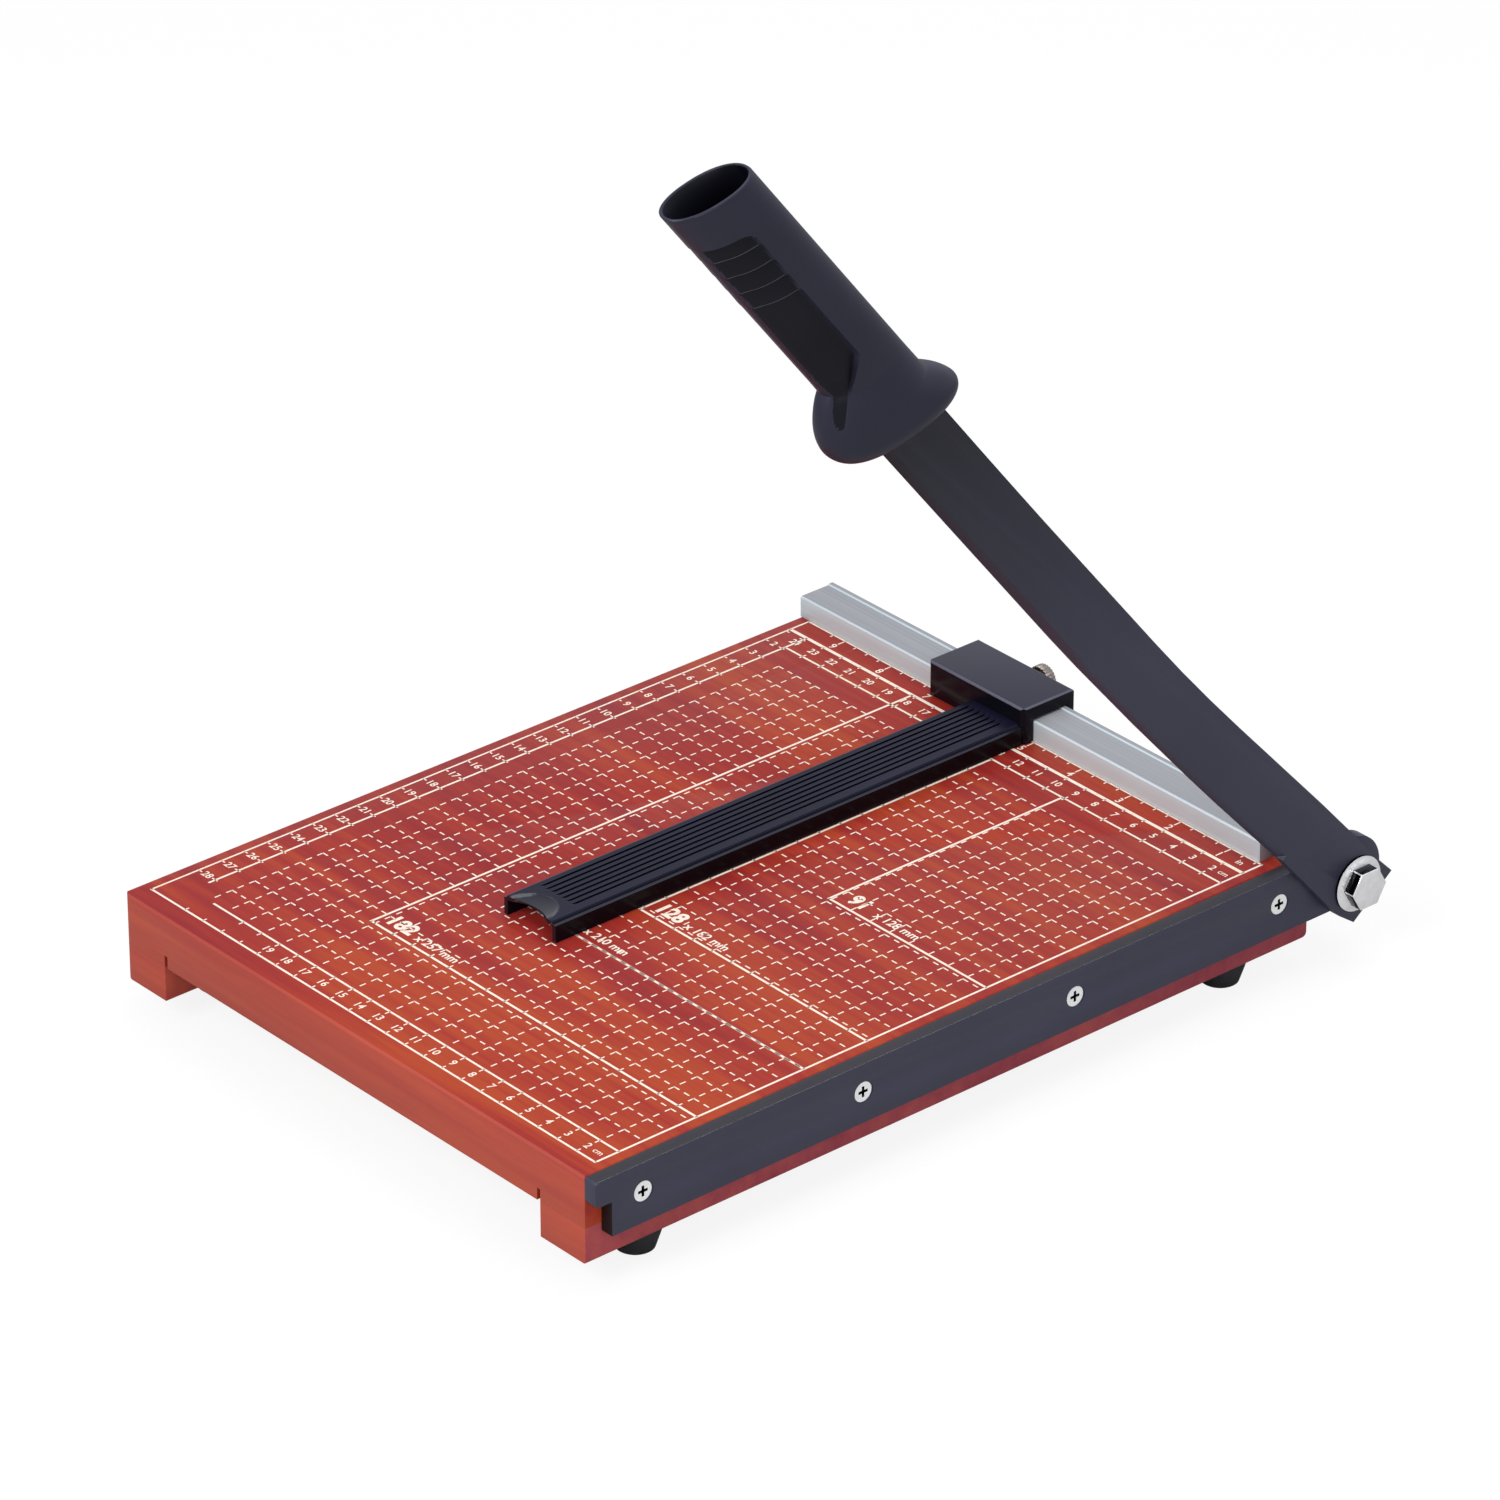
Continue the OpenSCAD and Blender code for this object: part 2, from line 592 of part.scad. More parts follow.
// Route of the spring's wire as [x, angle, slope]: straight leg, bend, helix, bend, straight leg.
// slope is the wire's angle from the axis, which turns from 0 in the leg to the helix's own.
helix_slope = atan(2 * PI * coil_r / coil_pitch);
bend_steps = 4;
bend_angle = bend_r * (1 - cos(helix_slope)) / coil_r * 180 / PI;
function bend_x(s) = bend_r * sin(s);
function bend_a(s) = bend_r * (1 - cos(s)) / coil_r * 180 / PI;
helix_l = spring_l - 2 * (wire_d + bend_x(helix_slope));
helix_turns = helix_l / coil_pitch;
helix_steps = ceil(helix_turns * 8);
wire_in = concat([[0, 0, 0]],
    [for (i = [0 : bend_steps]) let (s = helix_slope * i / bend_steps) [wire_d + bend_x(s), bend_a(s), s]]);
wire_turn = helix_turns * 360 + 2 * bend_a(helix_slope);
wire_route = concat(wire_in,
    [for (i = [1 : helix_steps - 1]) let (u = i / helix_steps)
        [wire_d + bend_x(helix_slope) + u * helix_l, bend_a(helix_slope) + u * helix_turns * 360, helix_slope]],
    [for (i = [len(wire_in) - 1 : -1 : 0]) let (w = wire_in[i]) [spring_l - w[0], wire_turn - w[1], w[2]]]);
function wire_point(w) = [-w[0], coil_r * cos(w[1]), coil_r * sin(w[1])];
// Ring of the tube at one point of the route: radial direction and the direction square to it
function wire_ring(w) = let (c = wire_point(w), e = [0, cos(w[1]), sin(w[1])],
    g = [sin(w[2]), -sin(w[1]) * cos(w[2]), cos(w[1]) * cos(w[2])])
    [for (k = [0 : 5]) c + wire_d / 2 * (cos(60 * k) * e + sin(60 * k) * g)];
wire_centres = [for (w = wire_route) wire_point(w)];
wire_gap = min([for (i = [0 : len(wire_centres) - 1], j = [i : len(wire_centres) - 1])
    if (wire_route[j][1] - wire_route[i][1] > 180) norm(wire_centres[i] - wire_centres[j])]) - wire_d;
echo(spring_least_gap_to_itself = wire_gap);

// Closed tube through rings of equal length, as triangles
module tube(rings) {
    n = len(rings[0]);
    last = len(rings) - 1;
    points = concat([for (r = rings) each r], [ring_mid(rings[0]), ring_mid(rings[last])]);
    sides = [for (i = [0 : last - 1], k = [0 : n - 1]) let (a = i * n + k, b = i * n + (k + 1) % n)
        each [[a, b, a + n], [b, b + n, a + n]]];
    caps = [for (k = [0 : n - 1]) let (m = (k + 1) % n)
        each [[m, k, n * (last + 1)], [last * n + k, last * n + m, n * (last + 1) + 1]]];
    polyhedron(points, concat(sides, caps));
}

function ring_mid(r) = [for (a = [0 : 2]) [for (p = r) p[a]] * [for (p = r) 1 / len(r)]];

module pivot_spring() color("#9a9ca2") seated() translate([spring_x, pivot_y, pivot_z])
    tube([for (w = wire_route) wire_ring(w)]);

module blade_arm() color("#373843") seated() difference() {
    on_arm(arm_x1) linear_extrude(arm_t) polygon(arm_outline);
    on_arm(arm_x1) bevel_cut();
    translate([-1, pivot_y, pivot_z]) rotate([0, 90, 0])
        cylinder(h = arm_t + 4, d = bolt_d + 2 * run_fit);
    at_handle_screws() translate([0, 0, -30]) cylinder(h = 60, d = handle_screw_d + 4 * fit);
}

// Wedges under the ground bevel, one for each straight stretch of the cutting edge
module bevel_cut() {
    for (i = [0 : len(edge_ts) - 2]) {
        a = edge_ts[i];
        b = edge_ts[i + 1];
        rise = edge_n(b) - edge_n(a);
        translate([a, edge_n(a), 0]) rotate(atan(rise / (b - a))) rotate([90, 0, 90])
            translate([0, 0, -0.4]) linear_extrude(norm([b - a, rise]) + 0.8)
                polygon([[-4, -1], [bevel_w, -1], [bevel_w, 0], [0, arm_t - 0.8], [-4, arm_t - 0.8]]);
    }
}

module at_handle_screws() {
    for (t = handle_screw_ts) on_arm(handle_seat_x) translate([t, handle_screw_n, 0]) children();
}

// Half sizes of the grip at station t along its axis, by easing between the named rings:
// towards the fingers, towards the back of the hand, and across the arm
function swell(v, from, to, t0, t1) = from + (to - from) * sqrt(max(0, 1 - pow(1 - min(1, max(0, (v - t0) / (t1 - t0))), 2)));
function lobe(t, size, rim, grip, peak, root, p) = t < peak ? swell(t, rim, size, rim_t, peak)
    : size + (grip - size) * pow(min(1, (t - peak) / (root - peak)), p);
function half_front(t) = lobe(t, guard_front, guard_front - 6.3, grip_b, rim_t + 8.5, rim_t + 30.5, 1.8);
function half_back(t) = lobe(t, guard_back, guard_back - 4, grip_b, rim_t + 5, rim_t + 17.5, 1.6);
function half_across(t) = lobe(t, guard_a, guard_a - 2.7, grip_a, rim_t + 6, rim_t + 30, 1.3);
function slant(t) = rim_slant + (grip_slant - rim_slant) * ease(rim_t, rim_t + 40, t);

// Finger recesses below the grip's middle line, one on each side of its front spine: a border that
// turns down towards the guard, and stepped ridges in the upper part
function border(t) = -0.75 * max(0, recess_turn - t);
function ridge(t) = let (u = (ridge_first - t) / ridge_pitch) u < 0 ? ridge_d * min(1, -u * 1.15)
    : u >= ridge_n - 1 ? ridge_d : ridge_d * (1 - (u - floor(u)));
function top_end(y) = recess_top - recess_corner
    + sqrt(max(0, pow(recess_corner, 2) - pow(max(0, y + recess_corner), 2)));
function recess(t, y, s) = (recess_d + ridge(t)) * part_way(border(t), border(t) - 1, y)
    * part_way(top_end(y) + 0.1, top_end(y) - 0.9, t) * (1 - 0.88 * ease(0.8, 0.97, abs(s)))
    * (0.35 * ease(recess_turn - 31, recess_turn - 20, t) + 0.65 * ease(recess_turn - 18, recess_turn - 8, t));

// One slanted ring of the grip, wall inside its outer face
function grip_ring(t, wall = 0, deep = 1) = [for (k = [0 : sides - 1])
    let (a = 360 * k / sides, c = cos(a), s = sin(a), e = 2 / squareness,
         x = sign(c) * pow(abs(c), e) * (half_across(t) - wall),
         y = sign(s) * pow(abs(s), e) * ((s > 0 ? half_back(t) : half_front(t)) - wall),
         cut = 1 - deep * recess(t, y, s) / max(1, norm([x, y])),
         along = t - slant(t) * y * cut, up = axis_n + y * cut)
    [along * cos(grip_tilt) - up * sin(grip_tilt), along * sin(grip_tilt) + up * cos(grip_tilt), -x * cut]];

grip_ts = concat(
    [for (u = [0, 0.2, 0.8, 2, 3.6, 5.5, 8, 11, 14, 17, 20, 23, 27, 31, 36, 41, 45, 52]) rim_t + u],
    [for (k = [ridge_n - 1 : -1 : 0], d = [-0.1, 0.1, ridge_pitch / 2]) ridge_ts[k] + d],
    [recess_top - 2.2, recess_top - 0.9, recess_top, end_t - 8, end_t - 0.6, end_t]);
bore_ts = [end_t, end_t - mouth_run / 2, end_t - mouth_run, bore_floor];
bore_walls = [mouth_wall, (mouth_wall + bore_wall) / 2, bore_wall, bore_wall];

module handle_grip() color("#33343f") seated() difference() {
    on_arm() tube(concat([for (t = grip_ts) grip_ring(t, t == end_t ? 0.5 : 0)],
        [for (i = [0 : 3]) grip_ring(bore_ts[i], bore_walls[i], 0)]));
    on_arm() tang_slot();
    on_arm(shear_gap + 0.2) inner_relief();
    at_handle_screws() {
        translate([0, 0, -handle_screw_reach - (arm_x1 - handle_seat_x) - 0.3])
            cylinder(h = handle_screw_reach + arm_x1 - handle_seat_x + 1, d = handle_screw_d + 2 * fit);
        cylinder(h = 12, d = handle_screw_head + 0.8);
    }
}

// Slot for the arm's full width up to its shoulders, and for the tang beyond them
module tang_slot() {
    half = arm_t / 2 + fit;
    translate([rim_t - guard_lap, edge_n(rim_t) - 6 * fit, -half])
        cube([blade_l - rim_t + guard_lap + fit, back_n(rim_t) - edge_n(rim_t) + 12 * fit, 2 * half]);
    translate([blade_l - 1, tang_n - tang_w / 2 - fit, -half]) cube([tang_l + 1 + 4 * fit, tang_w + 2 * fit, 2 * half]);
}

// Room beside the arm for the bed knife: the guard has no inner half until past the knife's end
module inner_relief() {
    near = rim_t - guard_lap;
    far = relief_t + relief_run;
    depth = 2 * guard_a;
    rotate([90, 0, 0]) translate([0, 0, -handle_l / 2]) linear_extrude(handle_l)
        polygon([[near, 0], [relief_t, 0], [far, relief_run * 1.2], [far, depth], [near, depth]]);
}

module handle_screws() color("#c8c8cc") seated() at_handle_screws()
    pan_screw(handle_screw_head, handle_screw_head_h, handle_screw_d, handle_screw_reach + arm_x1 - handle_seat_x);

module slider_block() color("#24252d") seated() difference() {
    translate([slider_x0, 0, 0]) rotate([90, 0, 90]) linear_extrude(slider_w) slider_profile();
    for (x = [slider_x0, slider_x1])
        translate([x, (leg_y0 + leg_y1) / 2, cap_z1]) rotate(90) chamfer_bar(leg_y1 - leg_y0 + 2, 0.6);
    for (x = [slider_x0, slider_x1])
        translate([x, leg_y0, cap_z1 / 2]) rotate([0, 90, 0]) chamfer_bar(cap_z1 + 2, 0.6);
    at_stop_screws() csk_hole(stop_screw_head, stop_screw_d, stop_screw_l, 2);
    translate([lock_x, leg_y1 + 1, lock_z]) rotate([90, 0, 0]) cylinder(h = back_leg_t + 2, d = insert_d + 2 * fit);
}

// Saddle over the fence: front leg with a set-back lip, cap with rounded edges, back leg
module slider_profile() {
    r = slider_edge;
    f0 = fence_y - slide_gap;
    f1 = fence_back + slide_gap;
    polygon(concat(arc(leg_y1 - r, cap_z1 - r, r, 0, 90), arc(leg_y0 + r, cap_z1 - r, r, 90, 180),
        [[leg_y0, lip_h], [leg_y0 + lip_d, lip_h], [leg_y0 + lip_d, slide_gap], [f0, slide_gap],
         [f0, cap_z0], [f1, cap_z0], [f1, slide_gap], [leg_y1, slide_gap]]));
}

module at_stop_screws() {
    for (x = stop_screw_xs)
        translate([x, leg_y0 + front_leg_t - 0.2, stop_screw_z]) rotate([-90, 0, 0]) children();
}

module paper_stop() color("#1f2027") seated() difference() {
    union() {
        difference() {
            translate([0, leg_y0, 0]) rotate([90, 0, 0]) linear_extrude(stop_l) stop_profile();
            translate([stop_x0 + stop_wall, stop_y0 - 1, stop_z0 - 1])
                cube([stop_w - 2 * stop_wall, stop_l - stop_boss_l + 1, stop_h - stop_wall + 1]);
            groove_cuts();
            scoop_cut();
        }
        intersection() {
            scoop_floor();
            translate([stop_x0 + stop_wall - 0.5, stop_y0, stop_z0]) cube([stop_w - 2 * stop_wall + 1, scoop_r + 3, stop_h - 0.8]);
        }
    }
    at_stop_screws() csk_body(stop_screw_head, stop_screw_d, stop_screw_l, fit);
}

// Outer section of the stop: full width up to a ledge, then a narrower chamfered top
module stop_profile() {
    c = 0.5;
    polygon([[stop_x0, stop_z0], [stop_x1, stop_z0], [stop_x1, stop_z1 - ledge_h],
        [stop_x1 - ledge_w, stop_z1 - ledge_h + 0.2], [stop_x1 - ledge_w - 0.2, stop_z1 - c],
        [stop_x1 - ledge_w - c - 0.2, stop_z1], [stop_x0 + ledge_w + c + 0.2, stop_z1],
        [stop_x0 + ledge_w + 0.2, stop_z1 - c], [stop_x0 + ledge_w, stop_z1 - ledge_h + 0.2],
        [stop_x0, stop_z1 - ledge_h]]);
}

module groove_cuts() {
    edge_l = 4.6;
    edge_r = 6.2;
    step = (stop_w - edge_l - edge_r) / (groove_n - 1);
    for (i = [0 : groove_n - 1])
        translate([stop_x0 + edge_l + i * step - groove_w / 2, stop_y0 - 1, stop_z1 - groove_d])
            cube([groove_w, stop_l + 2, groove_d + 1]);
}

// The scoop: inside its circle the top slopes down to the open end
module scoop_cut() {
    slope = atan(scoop_drop / scoop_r);
    intersection() {
        translate([scoop_x, stop_y0, stop_z0]) cylinder(h = stop_h + 2, r = scoop_r);
        translate([stop_x0, stop_y0, stop_z1 - scoop_drop]) rotate([slope, 0, 0])
            translate([0, -5, 0]) cube([stop_w, scoop_r + 8, 10]);
    }
}

// Thin floor under the scoop, joined to the web and the walls
module scoop_floor() {
    slope = atan(scoop_drop / scoop_r);
    difference() {
        translate([scoop_x, stop_y0, stop_z0]) cylinder(h = stop_h, r = scoop_r + 1.2);
        translate([stop_x0 - 1, stop_y0, stop_z1 - scoop_drop]) rotate([slope, 0, 0])
            translate([0, -5, 0]) cube([stop_w + 2, scoop_r + 10, 10]);
        translate([stop_x0 - 1, stop_y0, stop_z1 - scoop_drop - 1.5]) rotate([slope, 0, 0])
            translate([0, -5, -12]) cube([stop_w + 2, scoop_r + 10, 12]);
    }
}

module stop_screws() color("#c8c8cc") seated() at_stop_screws()
    csk_screw(stop_screw_head, stop_screw_d, stop_screw_l);

module lock_insert() color("#b8975a") seated() translate([lock_x, leg_y1, lock_z]) rotate([90, 0, 0])
    difference() {
        union() {
            cylinder(h = back_leg_t, d = insert_d);
            translate([0, 0, -insert_flange_t]) cylinder(h = insert_flange_t, d = insert_flange_d);
        }
        translate([0, 0, -3]) cylinder(h = back_leg_t + 6, d = lock_d + 2 * run_fit);
    }

module lock_screw() color("#b9babd") seated() translate([lock_x, lock_head_y, lock_z]) rotate([-90, 0, 0]) {
    linear_extrude(lock_head_t) polygon([for (i = [0 : 2 * knurls - 1])
        let (r = lock_head_d / 2 - (i % 2) * knurl_d) [r * cos(180 * i / knurls), r * sin(180 * i / knurls)]]);
    translate([0, 0, -lock_collar_l]) cylinder(h = lock_collar_l + 0.01, d = lock_collar_d);
    translate([0, 0, fence_back + 0.1 - lock_head_y])
        cylinder(h = lock_head_y - fence_back, d = lock_d);
}

base_panel();
left_runner();
right_runner();
runner_screws();
bed_knife();
knife_screws();
fence_rail();
fence_screws();
foot_front_left();
foot_front_right();
foot_rear_left();
foot_rear_right();
foot_washers();
foot_screws();
pivot_bolt();
pivot_washers();
pivot_spring();
lock_nut();
blade_arm();
handle_grip();
handle_screws();
slider_block();
paper_stop();
stop_screws();
lock_insert();
lock_screw();
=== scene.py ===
"""Lever paper trimmer: a red-stained wooden bed with a printed grid, a dark steel knife arm raised
on its pivot bolt, a metal fence and a black sliding stop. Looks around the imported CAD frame.
"""

import math

import bmesh
import bpy
from mathutils import Matrix, Vector


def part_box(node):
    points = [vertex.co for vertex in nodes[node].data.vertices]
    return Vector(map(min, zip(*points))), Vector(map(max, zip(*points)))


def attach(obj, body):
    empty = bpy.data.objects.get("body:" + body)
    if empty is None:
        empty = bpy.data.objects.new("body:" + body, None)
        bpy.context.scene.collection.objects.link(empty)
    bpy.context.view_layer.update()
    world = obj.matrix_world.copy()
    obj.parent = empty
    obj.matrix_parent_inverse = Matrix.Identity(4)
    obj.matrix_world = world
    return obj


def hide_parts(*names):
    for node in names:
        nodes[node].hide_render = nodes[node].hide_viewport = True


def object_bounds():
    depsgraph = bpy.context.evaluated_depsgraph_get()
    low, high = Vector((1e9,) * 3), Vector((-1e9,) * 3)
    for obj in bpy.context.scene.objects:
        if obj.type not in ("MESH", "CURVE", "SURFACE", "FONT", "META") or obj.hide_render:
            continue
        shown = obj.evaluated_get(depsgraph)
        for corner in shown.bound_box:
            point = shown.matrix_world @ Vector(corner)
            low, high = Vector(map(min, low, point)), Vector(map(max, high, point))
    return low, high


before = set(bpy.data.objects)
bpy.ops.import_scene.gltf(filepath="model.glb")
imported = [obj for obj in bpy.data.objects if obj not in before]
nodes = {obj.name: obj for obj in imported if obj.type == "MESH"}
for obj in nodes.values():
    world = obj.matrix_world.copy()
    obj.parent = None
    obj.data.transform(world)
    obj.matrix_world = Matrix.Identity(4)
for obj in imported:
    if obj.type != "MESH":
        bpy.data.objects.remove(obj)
cad_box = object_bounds()
MM = 0.001
METRE = 1000

# Measurements are in millimetres from the shearing plane (x), the printed zero line (y)
# and the top of the bed (z), as in the CAD source. EDGE is how far a broken edge is rounded.
FENCE_Y = 1.5
KNIFE_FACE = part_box("bed_knife")[1].x
ZERO_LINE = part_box("fence_rail")[0].y - FENCE_Y * MM
BED_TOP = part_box("base_panel")[1].z
PIVOT_Y, PIVOT_Z = 33.0, -12.5
ARM_ANGLE = math.radians(50)
ARM_MIDDLE = 2.4
EDGE = 0.3


def at(x, y, z=0.0):
    """The point with those measurements, in the row frame, in metres."""
    return Vector((KNIFE_FACE + x * MM, ZERO_LINE + y * MM, BED_TOP + z * MM))


# Camera

CAMERA_AT = (1840.9, -1835.8, 1472.7)
CAMERA_AZIMUTH, CAMERA_ELEVATION = math.radians(49.128), math.radians(28.747)
LENS_MM, SENSOR_MM = 206.8, 36


def place_camera():
    """The photograph's viewpoint, solved from the printed scales."""
    data = bpy.data.cameras.new("camera")
    data.lens, data.sensor_width = LENS_MM, SENSOR_MM
    camera = bpy.data.objects.new("camera", data)
    bpy.context.scene.collection.objects.link(camera)
    camera.location = at(*CAMERA_AT)
    level = math.cos(CAMERA_ELEVATION)
    back = Vector((
        math.sin(CAMERA_AZIMUTH) * level,
        -math.cos(CAMERA_AZIMUTH) * level,
        math.sin(CAMERA_ELEVATION),
    ))
    camera.rotation_euler = (-back).to_track_quat("-Z", "Y").to_euler()
    bpy.context.scene.camera = camera


# Colours and nodes


def linear(hex_colour):
    """An sRGB hex colour, by the sRGB curve, as the linear RGBA that shader sockets take."""
    channels = []
    for i in (1, 3, 5):
        c = int(hex_colour[i : i + 2], 16) / 255
        channels.append(c / 12.92 if c <= 0.04045 else ((c + 0.055) / 1.055) ** 2.4)
    return (*channels, 1.0)


def add(tree, kind, inputs=None, stops=None, **settings):
    """One node: its settings, its input values or links, and a colour ramp's stops."""
    node = tree.nodes.new(kind)
    for name, value in settings.items():
        setattr(node, name, value)
    for name, value in (inputs or {}).items():
        if isinstance(value, bpy.types.NodeSocket):
            tree.links.new(value, node.inputs[name])
        else:
            node.inputs[name].default_value = value
    if stops:
        elements = node.color_ramp.elements
        while len(elements) < len(stops):
            elements.new(0.5)
        for element, (position, colour) in zip(elements, stops):
            element.position = position
            element.color = linear(colour) if isinstance(colour, str) else (colour,) * 3 + (1,)
    return node


def start_material(name):
    """A material with an empty node tree, and its Object coordinates, which are in metres."""
    material = bpy.data.materials.new(name)
    material.use_nodes = True
    tree = material.node_tree
    tree.nodes.clear()
    coords = add(tree, "ShaderNodeTexCoord")
    return material, tree, coords.outputs["Object"]


def end_material(tree, inputs):
    """Ends a material with its Principled shader."""
    surface = add(tree, "ShaderNodeBsdfPrincipled", inputs)
    add(tree, "ShaderNodeOutputMaterial", {"Surface": surface.outputs[0]})


# Materials: METRE divided by a pattern's size in millimetres is its scale


def stained_plywood(name, dark, mid, light, roughness):
    """Plywood, sanded, stained red and given one thin coat of satin lacquer: long streaks
    follow the grain across the bed, a little orange where the stain took less. The pores are
    drawn some three times as wide as real ones, so that they show."""
    material, tree, place = start_material(name)
    patterns = []
    for long_mm, wide_mm, noise in (
        (111, 6.67, {"Detail": 4, "Roughness": 0.65}),
        (250, 45.5, {"Detail": 2, "Distortion": 0.4}),
        (16.7, 0.714, {"Detail": 2}),
    ):
        scale = (METRE / long_mm, METRE / wide_mm, METRE / wide_mm)
        laid = add(tree, "ShaderNodeMapping", {"Vector": place, "Scale": scale})
        pattern = add(
            tree, "ShaderNodeTexNoise", {"Vector": laid.outputs[0], "Scale": 1, **noise}
        )
        patterns.append(pattern.outputs[0])
    streaks, clouds, pores = patterns
    both = add(tree, "ShaderNodeMath", {0: streaks, 1: clouds}, operation="ADD")
    halved = add(tree, "ShaderNodeMath", {0: both.outputs[0], 1: 0.5}, operation="MULTIPLY")
    tint = add(
        tree,
        "ShaderNodeValToRGB",
        {"Fac": halved.outputs[0]},
        stops=[(0.38, dark), (0.5, mid), (0.62, light)],
    )
    bump = add(
        tree, "ShaderNodeBump", {"Height": pores, "Distance": 0.05 * MM, "Strength": 0.5}
    )
    shader = {
        "Base Color": tint.outputs[0],
        "Roughness": roughness,
        "Specular IOR Level": 0.16,
        "Coat Weight": 0.03,
        "Coat Roughness": 0.25,
        "Normal": bump.outputs[0],
    }
    end_material(tree, shader)
    return material


# Heights above the table, in millimetres, over which the arm's painted shadow deepens.
SHADE_LOW, SHADE_HIGH = 160, 270


def coated_steel(name, colour, light, roughness, grit_mm, depth_mm, shade=1.0):
    """Steel with a baked dark coating: a fine even orange peel and a broad soft sheen. A shade
    below 1 paints the guard's shadow on the arm: the colour darkens on the way up to the
    guard, between two heights above the table."""
    material, tree, place = start_material(name)
    patches = add(
        tree, "ShaderNodeTexNoise", {"Vector": place, "Scale": METRE / 62.5, "Detail": 3}
    )
    tint = add(
        tree,
        "ShaderNodeValToRGB",
        {"Fac": patches.outputs[0]},
        stops=[(0.35, colour), (0.7, light)],
    )
    height = add(tree, "ShaderNodeSeparateXYZ", {"Vector": place})
    heights = {"From Min": SHADE_LOW * MM, "From Max": SHADE_HIGH * MM}
    keep = add(
        tree,
        "ShaderNodeMapRange",
        {"Value": height.outputs["Z"], **heights, "To Min": 1, "To Max": shade},
    )
    shadowed = add(
        tree,
        "ShaderNodeVectorMath",
        {0: tint.outputs[0], "Scale": keep.outputs[0]},
        operation="SCALE",
    )
    peel = add(
        tree, "ShaderNodeTexNoise", {"Vector": place, "Scale": METRE / grit_mm, "Detail": 1}
    )
    bump = add(
        tree,
        "ShaderNodeBump",
        {"Height": peel.outputs[0], "Distance": depth_mm * MM, "Strength": 0.5},
    )
    shader = {
        "Base Color": shadowed.outputs[0],
        "Roughness": roughness,
        "Specular IOR Level": 0.35,
        "Normal": bump.outputs[0],
    }
    end_material(tree, shader)
    return material


def moulded_abs(name, colour, light, roughness, sheen, grit_mm, depth_mm):
    """Injection-moulded ABS: even colour, fine spark-eroded grain, soft highlights. The grain
    is drawn some three times as coarse as a mould's, so that it shows."""
    material, tree, place = start_material(name)
    patches = add(
        tree, "ShaderNodeTexNoise", {"Vector": place, "Scale": METRE / 40, "Detail": 2}
    )
    tint = add(
        tree,
        "ShaderNodeValToRGB",
        {"Fac": patches.outputs[0]},
        stops=[(0.3, colour), (0.75, light)],
    )
    grains = add(tree, "ShaderNodeTexVoronoi", {"Vector": place, "Scale": METRE / grit_mm})
    bump = add(
        tree,
        "ShaderNodeBump",
        {"Height": grains.outputs["Distance"], "Distance": depth_mm * MM, "Strength": 0.35},
    )
    shader = {
        "Base Color": tint.outputs[0],
        "Roughness": roughness,
        "Specular IOR Level": sheen,
        "Normal": bump.outputs[0],
    }
    end_material(tree, shader)
    return material


def anodised_aluminium(name, colour, light, roughness):
    """Drawn aluminium bar, satin anodised: faint lines along its length, coarser than real
    ones, so that they show."""
    material, tree, place = start_material(name)
    scale = (METRE / 250, METRE / 0.667, METRE / 0.667)
    laid = add(tree, "ShaderNodeMapping", {"Vector": place, "Scale": scale})
    lines = add(
        tree, "ShaderNodeTexNoise", {"Vector": laid.outputs[0], "Scale": 1, "Detail": 3}
    )
    tint = add(
        tree,
        "ShaderNodeValToRGB",
        {"Fac": lines.outputs[0]},
        stops=[(0.3, colour), (0.7, light)],
    )
    bump = add(
        tree,
        "ShaderNodeBump",
        {"Height": lines.outputs[0], "Distance": 0.01 * MM, "Strength": 0.4},
    )
    shader = {
        "Base Color": tint.outputs[0],
        "Metallic": 0.15,
        "Roughness": roughness,
        "Specular IOR Level": 0.4,
        "Normal": bump.outputs[0],
    }
    end_material(tree, shader)
    return material


def plated_steel(name, colour, dull, roughness, scratch_mm, metal=1.0):
    """Plated steel: a mirror of the studio with faint marks in the plating."""
    material, tree, place = start_material(name)
    marks = add(
        tree, "ShaderNodeTexNoise", {"Vector": place, "Scale": METRE / scratch_mm, "Detail": 4}
    )
    tint = add(
        tree,
        "ShaderNodeValToRGB",
        {"Fac": marks.outputs[0]},
        stops=[(0.35, dull), (0.6, colour)],
    )
    gloss = add(
        tree,
        "ShaderNodeMapRange",
        {"Value": marks.outputs[0], "To Min": roughness, "To Max": roughness * 1.8},
    )
    shader = {"Base Color": tint.outputs[0], "Metallic": metal, "Roughness": gloss.outputs[0]}
    end_material(tree, shader)
    return material


def moulded_rubber(name, colour, light):
    """Black moulded rubber: matt, with a dry bloom in places and a grit drawn coarse enough
    to show."""
    material, tree, place = start_material(name)
    bloom = add(
        tree, "ShaderNodeTexNoise", {"Vector": place, "Scale": METRE / 8.33, "Detail": 4}
    )
    tint = add(
        tree,
        "ShaderNodeValToRGB",
        {"Fac": bloom.outputs[0]},
        stops=[(0.4, colour), (0.75, light)],
    )
    grit = add(
        tree, "ShaderNodeTexNoise", {"Vector": place, "Scale": METRE / 0.4, "Detail": 1}
    )
    bump = add(
        tree,
        "ShaderNodeBump",
        {"Height": grit.outputs[0], "Distance": 0.05 * MM, "Strength": 0.4},
    )
    shader = {"Base Color": tint.outputs[0], "Roughness": 0.72, "Normal": bump.outputs[0]}
    end_material(tree, shader)
    return material


